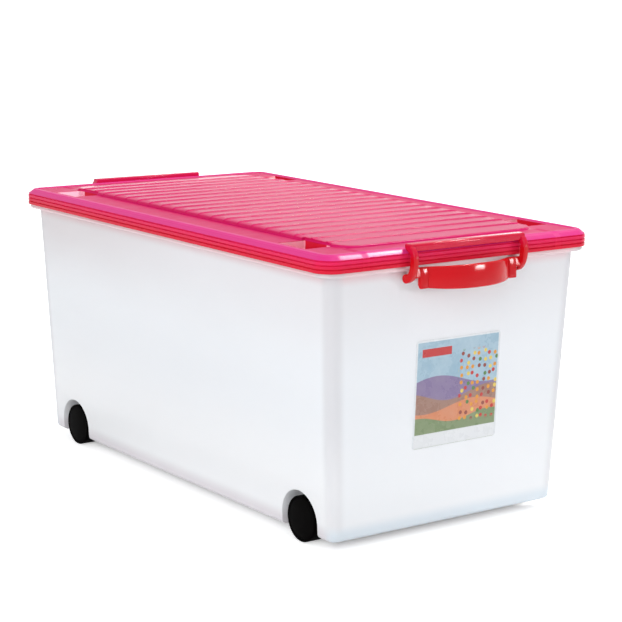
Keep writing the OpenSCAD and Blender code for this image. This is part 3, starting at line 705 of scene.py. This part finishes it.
BORDER_WIDTH = 12.0
BEVEL_RUN = 6.7
BEVEL_RISE = 5.0
SKIRT_HEIGHT = 12.4
SKIRT_WALL = 2.2
CHANNEL_DEPTH = 0.8
LID_PLATE = 2.0
LID_CORNER = RIM_CORNER + LID_SKIRT_AND_GAP
BAND_COUNT = 3
GROOVE_DEPTH = 1.3
GROOVE_SHARE = 0.32
RING_DEPTH = 6.0
Z_SKIRT = lid_low.z
Z_BEVEL = Z_SKIRT + SKIRT_HEIGHT
Z_BORDER = Z_BEVEL + BEVEL_RISE
Z_CHANNEL = Z_BORDER - CHANNEL_DEPTH
Z_CAVITY = Z_CHANNEL - LID_PLATE
CHANNEL_HALF_LENGTH = LID_HALF_LENGTH - BORDER_WIDTH
CHANNEL_HALF_WIDTH = LID_HALF_WIDTH - BORDER_WIDTH
PANEL_HALF_LENGTH = CHANNEL_HALF_LENGTH - 22.0
PANEL_HALF_WIDTH = CHANNEL_HALF_WIDTH - 32.0
PANEL_CORNER = 24.0
PANEL_STEP = 1.8
PANEL_CROWN = 2.7
SIDE_FALL = 1.2
FALL_POWER = 24
PANEL_EDGE = 2.4
RIB_PITCH = 25.0
RIB_PAIRS = 10
RIB_RADIUS = 2.5
RIB_HEIGHT = 1.0
RIB_END = 2.0
POCKET_X = (WHEEL_X - 25.0, WHEEL_X + 21.0)
POCKET_DEPTH = 10.0
POCKET_Y = (CHANNEL_HALF_WIDTH - 36.0, CHANNEL_HALF_WIDTH - 4.0)


def crown(x, across=0.0):
    """Rise of the panel: full in the middle, falling with the fourth power of x to nothing at its ends.

    The share of the half width, to the power of the fall, takes part of the rise away along its sides.
    """
    along = 1 - np.minimum(1, np.abs(x) / PANEL_HALF_LENGTH) ** 4
    return along * (PANEL_CROWN - SIDE_FALL * np.abs(across) ** FALL_POWER)


def skirt_profile():
    """Outline of the lid's edge as (distance out from the channel, height), from the underside round to the top."""
    out = BORDER_WIDTH
    inside = out - SKIRT_WALL
    slope = BEVEL_RISE / BEVEL_RUN
    lean = math.hypot(BEVEL_RUN, BEVEL_RISE) / BEVEL_RUN
    z_slope = Z_BEVEL + SKIRT_WALL * slope - SKIRT_WALL * lean
    ring_out, ring_in = 6.0, 4.2
    z_ring = Z_CAVITY - RING_DEPTH
    under = np.array([
        [ring_in, Z_CAVITY], [ring_in, z_ring + 0.5], [ring_in + 0.5, z_ring], [ring_out - 0.5, z_ring],
        [ring_out, z_ring + 0.5], [ring_out, z_slope + (inside - ring_out) * slope], [inside, z_slope],
        [inside, Z_SKIRT + 0.6], [inside + 0.5, Z_SKIRT]])
    t = np.linspace(0, 1, 12 * BAND_COUNT + 1)
    phase = (t * BAND_COUNT) % 1.0
    groove = np.clip(np.abs(phase - (1 - GROOVE_SHARE / 2)) / (GROOVE_SHARE / 2), 0, 1)
    depth = GROOVE_DEPTH * np.cos(groove * math.pi / 2) ** 1.0
    depth[-1] = 0.35
    bands = np.stack([out - depth, Z_SKIRT + 0.5 + t * (SKIRT_HEIGHT - 0.5)], -1)
    bands = np.concatenate([[[out - 0.5, Z_SKIRT]], bands])
    round_off = np.array([
        [out - 0.35, Z_BEVEL + 0.15], [out - 0.8, Z_BEVEL + 0.55],
        [out - BEVEL_RUN + 1.0, Z_BORDER - 0.70], [out - BEVEL_RUN + 0.35, Z_BORDER - 0.28],
        [out - BEVEL_RUN - 0.30, Z_BORDER - 0.06], [out - BEVEL_RUN - 1.0, Z_BORDER]])
    step = np.array([[1.3, Z_BORDER], [0.95, Z_BORDER - 0.05], [0.7, Z_BORDER - 0.22],
                     [0.5, Z_CHANNEL + 0.2], [0.28, Z_CHANNEL + 0.04], [0.0, Z_CHANNEL]])
    return np.concatenate([under, bands, round_off, step])


def lid_plate_and_skirt():
    """The lid's edge profile carried round the rounded rectangle of the channel."""
    profile = skirt_profile()
    d, z = profile[:, 0], profile[:, 1]
    return skin(rounded_rings(CHANNEL_HALF_LENGTH + d, CHANNEL_HALF_WIDTH + d,
                              LID_CORNER - BORDER_WIDTH + d, z, steps=20))


def rib_rise(x, y):
    """Height of the ribs: circle segments every pitch along X, with round ends near the panel's sides."""
    nearest = (np.floor(x / RIB_PITCH) + 0.5) * RIB_PITCH
    off = np.abs(x - nearest)
    segment = np.sqrt(np.maximum(RIB_RADIUS ** 2 - off ** 2, 0)) - (RIB_RADIUS - RIB_HEIGHT)
    inside = np.abs(nearest) < RIB_PAIRS * RIB_PITCH
    end = np.clip((PANEL_HALF_WIDTH - RIB_END - np.abs(y)) / 2.0, 0, 1)
    return np.maximum(segment, 0) * inside * np.sqrt(end * (2 - end))


def panel_solid(trim, drop, z_base, ribbed):
    """Crowned panel: a grid over the rounded rectangle, a rounded edge round it and a flat base.

    A grid point is (x, t times the outline's half width at x), and its height is the crown plus the ribs.
    """
    edge = PANEL_EDGE if ribbed else 0.0
    half_x, half_y = PANEL_HALF_LENGTH - trim - edge, PANEL_HALF_WIDTH - trim - edge
    corner = PANEL_CORNER - trim - edge
    middles = (np.arange(2 * RIB_PAIRS) - RIB_PAIRS + 0.5) * RIB_PITCH
    offsets = np.array([-2.6, -2.0, -1.7, -1.2, -0.6, 0, 0.6, 1.2, 1.7, 2.0, 2.6]) if ribbed else np.zeros(1)
    ends = half_x - corner * (1 - np.sin(quarter(10)))
    x = np.unique(np.round(np.concatenate([(middles[:, None] + offsets).ravel(), ends, -ends]), 5))
    side = np.array([0, 30, 60, 80, 90, 100, 107, 113, 117, 119, 120.5, 121.3, 121.9, 122.4, 122.8, 123.0, 124])
    side = side / PANEL_HALF_WIDTH
    t = np.unique(np.concatenate([-side, side, [-1, 1]])) if ribbed else np.linspace(-1, 1, 33)
    into_corner = np.maximum(np.abs(x) - (half_x - corner), 0)
    reach = half_y - corner + np.sqrt(np.maximum(corner ** 2 - into_corner ** 2, 0))
    gx = np.broadcast_to(x[:, None], (len(x), len(t)))
    gy = t[None, :] * reach[:, None]
    gz = Z_CHANNEL + PANEL_STEP + crown(gx, gy / PANEL_HALF_WIDTH) - drop + (rib_rise(gx, gy) if ribbed else 0)
    top = np.stack([gx, gy, gz], -1)
    rows, cols = top.shape[:2]
    index = np.arange(rows * cols).reshape(rows, cols)
    quads = np.stack([index[:-1, :-1], index[1:, :-1], index[1:, 1:], index[:-1, 1:]], -1).reshape(-1, 4)
    loop = np.concatenate([index[:, 0], index[-1, 1:], index[-2::-1, -1], index[0, -2:0:-1]])
    rim = top.reshape(-1, 3)[loop]
    away = np.sign(rim[:, :2]) * np.maximum(np.abs(rim[:, :2]) - np.array([half_x - corner, half_y - corner]), 0)
    away = away / np.maximum(np.linalg.norm(away, axis=1, keepdims=True), 1e-9)
    turn = quarter(5)[1:] if ribbed else np.zeros(0)
    out = np.concatenate([edge * np.sin(turn), [edge]])
    down = np.concatenate([edge * (1 - np.cos(turn)), [0]])
    rings = np.repeat(rim[None], len(out), 0)
    rings[..., :2] += out[:, None, None] * away[None]
    rings[..., 2] -= down[:, None]
    rings[-1, :, 2] = z_base
    count, n = rows * cols, len(loop)
    ring_index = np.concatenate([loop[None], count + np.arange(len(out) * n).reshape(len(out), n)])
    here, after = ring_index, np.roll(ring_index, -1, 1)
    walls = np.stack([here[:-1], here[1:], after[1:], after[:-1]], -1).reshape(-1, 4)
    faces = quads.tolist() + walls.tolist() + [ring_index[-1].tolist()]
    return np.concatenate([top.reshape(-1, 3), rings.reshape(-1, 3)]), faces


def pocket_block(grow, top):
    """Space of one stacking pocket: upright towards the middle of the lid, sloped towards its end."""
    x0, x1 = POCKET_X[0] - grow, POCKET_X[1] + grow
    low = Z_CHANNEL - POCKET_DEPTH - grow
    outline = [[x0, low], [x1 - POCKET_DEPTH, low], [x1, low + POCKET_DEPTH], [x1, top], [x0, top]]
    return bar_along_y(outline, POCKET_Y[0] - grow, POCKET_Y[1] + grow)


def liner_under_panel():
    """Wall between a pocket and the lid's hollow where the pocket cuts into the panel's edge."""
    x = np.linspace(POCKET_X[0] - LID_PLATE, POCKET_X[1] + LID_PLATE, 9)
    top = np.stack([x, Z_CHANNEL + PANEL_STEP + crown(x, 1.0) - 0.8], -1)[::-1]
    outline = np.concatenate([[[x[0], Z_CAVITY - 1], [x[-1], Z_CAVITY - 1]], top])
    return bar_along_y(outline, POCKET_Y[0] - LID_PLATE, PANEL_HALF_WIDTH - LID_PLATE - 0.2)


def make_lid():
    """Lid: edge and plate, the crowned ribbed panel, its hollow underside and the four stacking pockets."""
    lid = solid(lid_plate_and_skirt())
    combine(lid, solid(panel_solid(0.0, 0.0, Z_CHANNEL - 1.0, True)), "UNION")
    combine(lid, solid(panel_solid(LID_PLATE, LID_PLATE, Z_CAVITY - 1.5, False)), "DIFFERENCE")
    combine(lid, solid(four_ways(pocket_block(LID_PLATE, Z_CHANNEL - 1.0))), "UNION")
    combine(lid, solid(four_ways(liner_under_panel())), "UNION")
    combine(lid, solid(four_ways(pocket_block(0.0, Z_BORDER + 12.0))), "DIFFERENCE")
    break_edges(lid, 0.45, angle=50.0)
    return finish(lid, "lid_shell", "lid", LID_PLASTIC, ["lid"])


# ---------------------------------------------------------------- clip handles

CLIP_HALF_WIDTH = clip_high.y
ARM_WIDTH = 6.0
ARM_THICK = 7.6
ARM_IN = CLIP_HALF_WIDTH - ARM_WIDTH
BAR_PROUD = 4.2
BAR_FACE = 7.0
BAR_REACH = 5.5
BAR_OVERHANG = 4.8
BAR_GAP = 0.5
Z_BAR_TOP = Z_BORDER + BAR_PROUD
STUB_RADIUS = 2.5
STUB_LENGTH = 5.6
BLOCK_STAND = 5.0
BLOCK_DEPTH = 5.0
BLOCK_RELIEF = 3.0
BLOCK_GAP = 5.5
BLOCK_WIDTH = 9.5
Y_BLOCK = (ARM_IN - BLOCK_GAP - BLOCK_WIDTH, ARM_IN - BLOCK_GAP)
BRIDGE_HEIGHT = 10.0
BRIDGE_THICK = 4.0
BRIDGE_SET = 0.5
ARM_BELLY = 0.63
GRIP_HEIGHT = 20.5
GRIP_THICK = 4.0
GRIP_BULGE = 17.0
GRIP_FULLNESS = 2.5
GRIP_DROOP = 1.4
GRIP_CROWN = 1.2
FACE_CROWN = 0.55
FACE_LEAN = 1.1
Z_GRIP_TOP = Z_SHELF + 3.5
Z_GRIP_LOW = Z_GRIP_TOP - GRIP_HEIGHT
X_BLOCK = X_HINGE + BLOCK_STAND
X_GRIP = X_BLOCK + BLOCK_DEPTH


def bevel_clearance(x):
    """Height of the line that runs above the lid's bevel with the bar's gap."""
    lean = math.hypot(BEVEL_RUN, BEVEL_RISE) / BEVEL_RUN
    return Z_BEVEL + (LID_HALF_LENGTH - x) * BEVEL_RISE / BEVEL_RUN + BAR_GAP * lean


def clip_arm():
    """Arm: a rounded rectangular section carried round the rim, thinner where the lid is near.

    At angle a the middle line is (cx + rx cos a, cz + rz sin a), where rz is larger below the widest point
    than above it. The section stands on the line's normal.
    """
    cx = X_HINGE + 1
    rx = LID_HALF_LENGTH + 3 + ARM_THICK / 2 - cx
    z_top = Z_BAR_TOP - ARM_THICK / 2
    cz = Z_HINGE + ARM_BELLY * (z_top - Z_HINGE)
    a = np.radians(np.linspace(-100, 82, 44))
    rz = np.where(a > 0, z_top - cz, cz - Z_HINGE)
    px, pz = cx + rx * np.cos(a), cz + rz * np.sin(a)
    nx, nz = np.cos(a) / rx, np.sin(a) / rz
    length = np.hypot(nx, nz)
    nx, nz = nx / length, nz / length
    slope = BEVEL_RISE / BEVEL_RUN
    room = (pz - bevel_clearance(px)) / (nz + nx * slope)
    half = ARM_THICK / 2
    inner = np.where(a > 0.35, np.minimum(half, np.maximum(room, 0.6)), half)
    along = np.linspace(0, 1, len(a))
    ease = 1 - 0.35 * np.clip(1 - along / 0.10, 0, 1) ** 2
    half_u, shift = (half + inner) / 2 * ease, (half - inner) / 2
    ring = rounded_rings(half_u, np.full(len(a), ARM_WIDTH / 2), np.minimum(1.7, half_u * 0.8), 0.0, steps=5)
    u = ring[..., 0] + shift[:, None]
    points = np.stack([px[:, None] + u * nx[:, None],
                       ring[..., 1] + ARM_IN + ARM_WIDTH / 2,
                       pz[:, None] + u * nz[:, None]], -1)
    return skin(points)


def clip_bar():
    """Hook bar over the lid's bevel: its underside runs parallel to the bevel."""
    x_back, x_front = LID_HALF_LENGTH - BAR_REACH, LID_HALF_LENGTH + BAR_OVERHANG
    z_low = Z_BAR_TOP - BAR_FACE
    lean = BAR_GAP * math.hypot(BEVEL_RUN, BEVEL_RISE) / BEVEL_RUN
    x_low = LID_HALF_LENGTH - (z_low - Z_BEVEL - lean) * BEVEL_RUN / BEVEL_RISE
    outline = [[x_back, bevel_clearance(x_back)], [x_low, z_low], [x_front, z_low],
               [x_front, Z_BAR_TOP], [x_back, Z_BAR_TOP]]
    return bar_along_y(soften(outline, [0.5, 0.4, 1.1, 2.4, 1.6]), -CLIP_HALF_WIDTH, CLIP_HALF_WIDTH, 1.4)


def clip_block():
    """Block between an arm and the grip, relieved below so that it clears the wall as the clip swings.

    At a height h from -1 to 1 its outer face stands back by the crown times h squared plus the lean times h.
    """
    height = np.linspace(-1, 1, 7)
    set_back = FACE_CROWN * height ** 2 + FACE_LEAN * height
    face = np.stack([X_GRIP - set_back, Z_GRIP_LOW + (height + 1) / 2 * GRIP_HEIGHT], -1)
    back = [[X_BLOCK, Z_GRIP_TOP], [X_BLOCK, Z_GRIP_LOW + BLOCK_RELIEF], [X_BLOCK + BLOCK_RELIEF, Z_GRIP_LOW]]
    radii = [1.0] + [0.0] * 5 + [1.0, 1.0, 0.8, 0.8]
    return bar_along_y(soften(np.concatenate([face, back]), radii), Y_BLOCK[0], Y_BLOCK[1], 1.0)


def clip_bridge():
    """Bridge that carries the block from the arm beside it, across the lug."""
    x_out, x_in = X_GRIP - BRIDGE_SET, X_GRIP - BRIDGE_SET - BRIDGE_THICK
    z_low = Z_GRIP_TOP - BRIDGE_HEIGHT
    x_top = x_out - FACE_LEAN - FACE_CROWN
    outline = [[x_in, z_low], [x_out, z_low], [x_top, Z_GRIP_TOP - 0.2], [x_in, Z_GRIP_TOP - 0.2]]
    return bar_along_y(soften(outline, [0.8, 1.2, 1.2, 0.8]), Y_BLOCK[1] - 1.5, ARM_IN + 1.0)


def clip_grip():
    """Grip: a leaning section with rounded edges and a crowned face, bowed outwards from side to side.

    The bow at y is 1 - |y / half| to the power of the fullness.
    """
    half = Y_BLOCK[0] + 1.0
    y = np.linspace(half, -half, 57)
    bow = 1 - np.abs(y / half) ** GRIP_FULLNESS
    x_out = X_GRIP + GRIP_BULGE * bow
    z_top = Z_GRIP_TOP + GRIP_CROWN * bow
    z_low = Z_GRIP_LOW - GRIP_DROOP * bow
    ring = rounded_rings(np.full(len(y), GRIP_THICK / 2), (z_top - z_low) / 2, 1.7, 0.0, steps=6)
    height = ring[..., 1] / ((z_top - z_low) / 2)[:, None]
    back = FACE_CROWN * height ** 2 * (ring[..., 0] > 0) + FACE_LEAN * (height + 1)
    points = np.stack([(x_out - GRIP_THICK / 2)[:, None] + ring[..., 0] - back,
                       np.broadcast_to(y[:, None], ring.shape[:2]),
                       ((z_top + z_low) / 2)[:, None] + ring[..., 1]], -1)
    return skin(points)


def make_clip(end, name, body, node):
    """Clip handle: hook bar, two arms, blocks, grip and hinge stubs as one moulding."""
    turn = np.array([end, end, 1.0])

    def placed(shell):
        return shell[0] * turn, shell[1]

    def both_sides(shell):
        return joined(shell, mirrored(shell, 1, -1))

    clip = solid(placed(clip_bar()))
    combine(clip, solid(placed(both_sides(clip_arm()))), "UNION")
    combine(clip, solid(placed(both_sides(clip_block()))), "UNION")
    combine(clip, solid(placed(both_sides(clip_bridge()))), "UNION")
    combine(clip, solid(placed(clip_grip())), "UNION")
    eye = round_bar(X_HINGE, Z_HINGE, EYE_RADIUS, ARM_IN, CLIP_HALF_WIDTH, 1.0)
    combine(clip, solid(placed(both_sides(eye))), "UNION")
    stub = round_bar(X_HINGE, Z_HINGE, STUB_RADIUS, ARM_IN - STUB_LENGTH, ARM_IN + 1, 0.4)
    combine(clip, solid(placed(both_sides(stub))), "UNION")
    return finish(clip, name, body, CLIP_PLASTIC, [node], sharp=40)


# ---------------------------------------------------------------- wheels, caps and axle pins

CAP_SEAT = 2.45
CAP_RADIUS = WHEEL_RADIUS - 3.0
RING_INNER = WHEEL_RADIUS - 4.0
HUB_OUT = 4.65
WEB_OUT = 8.15
WEB = 2.5
CAP_THICK = 2.1
CAP_SINK = 0.3
CAP_DOME = 1.3
SPIGOT_LENGTH = 4.0
SPIGOT_WALL = 2.0
SPOKES = 6


def wheel_shell(place, outward):
    """Wheel: rim, web and hub turned round the axle; its spokes come from spokes_shell."""
    bore = AXLE_RADIUS + 0.05
    web_in = WEB_OUT + WEB
    outline = [
        [bore, -WHEEL_WIDTH], [BOSS_RADIUS, -WHEEL_WIDTH], [BOSS_RADIUS, -web_in], [RING_INNER, -web_in],
        [RING_INNER, -WHEEL_WIDTH], [WHEEL_RADIUS, -WHEEL_WIDTH], [WHEEL_RADIUS, 0.0],
        [CAP_RADIUS + 0.05, 0.0], [CAP_RADIUS + 0.05, -CAP_SEAT], [RING_INNER, -CAP_SEAT],
        [RING_INNER, -WEB_OUT], [BOSS_RADIUS, -WEB_OUT], [BOSS_RADIUS, -HUB_OUT], [bore, -HUB_OUT]]
    radii = [0.3, 0.5, 0.8, 0.8, 0.6, 1.2, 1.2, 0.3, 0.1, 0.2, 0.8, 0.8, 0.4, 0.2]
    rim = lathe(soften(outline, radii, steps=4), place, outward)
    return rim


def spokes_shell(place, outward):
    """Stiffening spokes between hub and rim, one box per step of the turn."""
    web_in = WEB_OUT + WEB
    box = rounded_rings((RING_INNER - BOSS_RADIUS + 1) / 2, 1.0, 0.4,
                        [-WHEEL_WIDTH + 1.0, -web_in + 0.5], steps=3)
    box[..., 0] += (RING_INNER + BOSS_RADIUS) / 2
    outward = np.asarray(outward, float)
    side = np.array([1.0, 0, 0])
    other = np.cross(outward, side)
    shells = []
    for turn in np.arange(SPOKES) * 2 * math.pi / SPOKES:
        u = box[..., 0] * math.cos(turn) - box[..., 1] * math.sin(turn)
        v = box[..., 0] * math.sin(turn) + box[..., 1] * math.cos(turn)
        points = u[..., None] * side + v[..., None] * other + box[..., 2, None] * outward
        shells.append(skin(points + np.asarray(place, float)))
    return joined(*shells)


def cap_shell(place, outward):
    """Domed cap: the dome falls with the square of the radius, and a spigot plugs into the rim."""
    seat = -CAP_SINK - CAP_THICK
    spigot = RING_INNER - 0.1
    r = CAP_RADIUS * np.linspace(0.985, 0.02, 16)
    dome = np.stack([r, -CAP_SINK + CAP_DOME * (1 - (r / CAP_RADIUS) ** 2)], -1)
    outline = np.concatenate([
        [[0.3, seat], [spigot - SPIGOT_WALL, seat], [spigot - SPIGOT_WALL, seat - SPIGOT_LENGTH],
         [spigot - 0.4, seat - SPIGOT_LENGTH], [spigot, seat - SPIGOT_LENGTH + 0.4], [spigot, seat],
         [CAP_RADIUS - 0.15, seat], [CAP_RADIUS, seat + 0.15], [CAP_RADIUS, -CAP_SINK - 0.35]], dome])
    return disc_lathe(outline, place, outward, steps=96)


def pin_shell(place, outward):
    """Headed axle pin with chamfered ends."""
    head, head_r = 1.6, 5.0
    top = -(HUB_OUT - 0.3) + head
    tip = -(WHEEL_FACE - BOSS_FACE + AXLE_HOLD - 0.2)
    r = AXLE_RADIUS - 0.01
    outline = [[0.2, tip], [r - 0.5, tip], [r, tip + 0.5], [r, top - head], [head_r - 0.2, top - head],
               [head_r, top - head + 0.2], [head_r, top - 0.5], [head_r - 0.5, top - 0.1], [0.2, top]]
    return disc_lathe(outline, place, outward, steps=48)


def make_wheels():
    """Wheel, cap and axle pin at each corner."""
    for front, sign_x in (("front", 1), ("rear", -1)):
        for left, sign_y in (("left", 1), ("right", -1)):
            tag = f"{front}_{left}"
            place = (sign_x * WHEEL_X, sign_y * WHEEL_FACE, WHEEL_RADIUS)
            outward = (0, sign_y, 0)
            wheel = solid(wheel_shell(place, outward))
            combine(wheel, solid(spokes_shell(place, outward)), "UNION")
            finish(wheel, f"tyre_{tag}", f"wheel_{tag}", WHEEL_PLASTIC, [f"wheel_{tag}"])
            finish(solid(cap_shell(place, outward)), f"cap_{tag}", f"wheel_{tag}",
                   CAP_PLASTIC, [f"wheel_cap_{tag}"])
            finish(solid(pin_shell(place, outward)), f"pin_{tag}", "tub", AXLE_STEEL,
                   [f"axle_pin_{tag}"])


# ---------------------------------------------------------------- label


def make_label():
    """Label: a thin rounded sheet that leans with the end wall, with its own UV map for the print."""
    y_mid, half_y = (label_low.y + label_high.y) / 2, (label_high.y - label_low.y) / 2
    z_mid, half_z = (label_low.z + label_high.z) / 2, (label_high.z - label_low.z) / 2
    glue, thick = 0.02, 0.3
    ring = rounded_rings(half_y, half_z, 3.0, [0.0, 0.0], steps=6)
    y, z = y_mid + ring[..., 0], z_mid + ring[..., 1]
    x = half_length(z) + glue + np.array([0.0, thick])[:, None]
    sheet = solid(skin(np.stack([x, y, z], -1)))
    mesh = sheet.data
    uv = mesh.uv_layers.new(name="UVMap")
    place = np.zeros(len(mesh.vertices) * 3)
    mesh.vertices.foreach_get("co", place)
    place = place.reshape(-1, 3)
    corner = np.zeros(len(mesh.loops), int)
    mesh.loops.foreach_get("vertex_index", corner)
    flat = np.stack([(place[:, 1] - label_low.y) / (2 * half_y), (place[:, 2] - label_low.z) / (2 * half_z)], -1)
    uv.data.foreach_set("uv", flat[corner].ravel())
    return finish(sheet, "label_sheet", "tub", LABEL_FILM, ["label"])


make_tub()
make_lid()
make_clip(1, "clip_front_moulding", "clip_front", "clip_handle_front")
make_clip(-1, "clip_rear_moulding", "clip_rear", "clip_handle_rear")
make_wheels()
make_label()

# ---------------------------------------------------------------- floor, lamps and world


def make_floor():
    """Pale floor that reads as white away from the box and keeps its shadow; near the footprint its glow fades, a
    painted shadow that shapes the contact shadow.
    """
    sh = Shader("studio_floor")
    path = sh.add("ShaderNodeLightPath")
    seen = sh.math("MAXIMUM", path.outputs["Is Camera Ray"],
                   sh.math("MAXIMUM", path.outputs["Is Glossy Ray"], path.outputs["Is Transmission Ray"]))
    matte = sh.add("ShaderNodeBsdfDiffuse", {"Color": linear(236, 238, 238)})
    x, y, _ = sh.axes()
    past_x = sh.math("SUBTRACT", sh.math("ABSOLUTE", x), TUB_HALF_LENGTH * MM)
    past_y = sh.math("SUBTRACT", sh.math("ABSOLUTE", y), TUB_HALF_WIDTH * MM)
    out_x, out_y = sh.math("MAXIMUM", past_x, 0.0), sh.math("MAXIMUM", past_y, 0.0)
    outside = sh.math("SQRT", sh.math("ADD", sh.math("MULTIPLY", out_x, out_x), sh.math("MULTIPLY", out_y, out_y)))
    within = sh.math("MINIMUM", sh.math("MAXIMUM", past_x, past_y), 0.0)
    distance = sh.math("ADD", outside, within)
    # Painted shadow: the glow seen by the camera fades from full white 60 mm out from the footprint to nothing 45 mm
    # inside it.
    white = sh.math("ADD", sh.smooth(distance, -0.045, -0.005, 0.0, 0.6), sh.smooth(distance, -0.010, 0.060, 0.0, 0.4))
    glow = sh.add("ShaderNodeEmission", {"Color": (1, 1, 1, 1), "Strength": sh.math("MULTIPLY", seen, white)})
    both = sh.add("ShaderNodeAddShader", {0: matte.outputs[0], 1: glow.outputs[0]})
    out = sh.add("ShaderNodeOutputMaterial")
    sh.tree.links.new(both.outputs[0], out.inputs["Surface"])
    side = 40.0
    mesh = bpy.data.meshes.new("studio_floor")
    mesh.from_pydata([(-side, -side, 0), (side, -side, 0), (side, side, 0), (-side, side, 0)], [], [(0, 1, 2, 3)])
    mesh.materials.append(sh.material)
    floor = bpy.data.objects.new("studio_floor", mesh)
    bpy.context.scene.collection.objects.link(floor)


def make_lamp(name, direction, distance, width, height, power, tint=(1, 1, 1)):
    """Softbox that looks at the middle of the box from a direction."""
    data = bpy.data.lights.new(name, "AREA")
    data.shape = "RECTANGLE"
    data.size, data.size_y = width, height
    data.energy = power
    data.color = tint
    lamp = bpy.data.objects.new(name, data)
    aim = Vector((0, 0, 0.15))
    way = Vector(direction).normalized()
    lamp.location = aim + way * distance
    lamp.rotation_euler = (-way).to_track_quat("-Z", "Y").to_euler()
    bpy.context.scene.collection.objects.link(lamp)


def make_world():
    """Even pale sky."""
    world = bpy.data.worlds.new("studio")
    world.use_nodes = True
    sky = world.node_tree.nodes["Background"]
    path = world.node_tree.nodes.new("ShaderNodeLightPath")
    level = world.node_tree.nodes.new("ShaderNodeMapRange")
    links = world.node_tree.links
    seen = path.outputs["Is Camera Ray"]
    for ray in ("Is Glossy Ray", "Is Transmission Ray"):
        either = world.node_tree.nodes.new("ShaderNodeMath")
        either.operation = "MAXIMUM"
        links.new(seen, either.inputs[0])
        links.new(path.outputs[ray], either.inputs[1])
        seen = either.outputs[0]
    links.new(seen, level.inputs["Value"])
    level.inputs["To Min"].default_value = 0.463
    level.inputs["To Max"].default_value = 1.0
    links.new(level.outputs[0], sky.inputs[1])
    sky.inputs[0].default_value = (0.98, 0.985, 1.0, 1)
    bpy.context.scene.world = world


make_floor()
make_world()
make_lamp("overhead_softbox", (0.10, 0.25, 0.96), 2.6, 1.8, 1.4, 13)
make_lamp("back_strobe", (0.043, 0.561, 0.849), 2.6, 0.30, 0.30, 26)
make_lamp("horizon_softbox", (-0.797, 0.574, 0.09), 3.0, 2.0, 0.24, 2.0)
make_lamp("front_softbox", (0.55, -0.80, 0.50), 3.2, 2.0, 1.6, 26)
make_lamp("left_softbox", (0.35, -0.93, 0.15), 2.6, 1.6, 1.0, 13)
make_lamp("side_strobe", (0.80, 0.578, 0.162), 2.4, 0.25, 0.20, 9)
bpy.context.scene.view_settings.view_transform = "Standard"
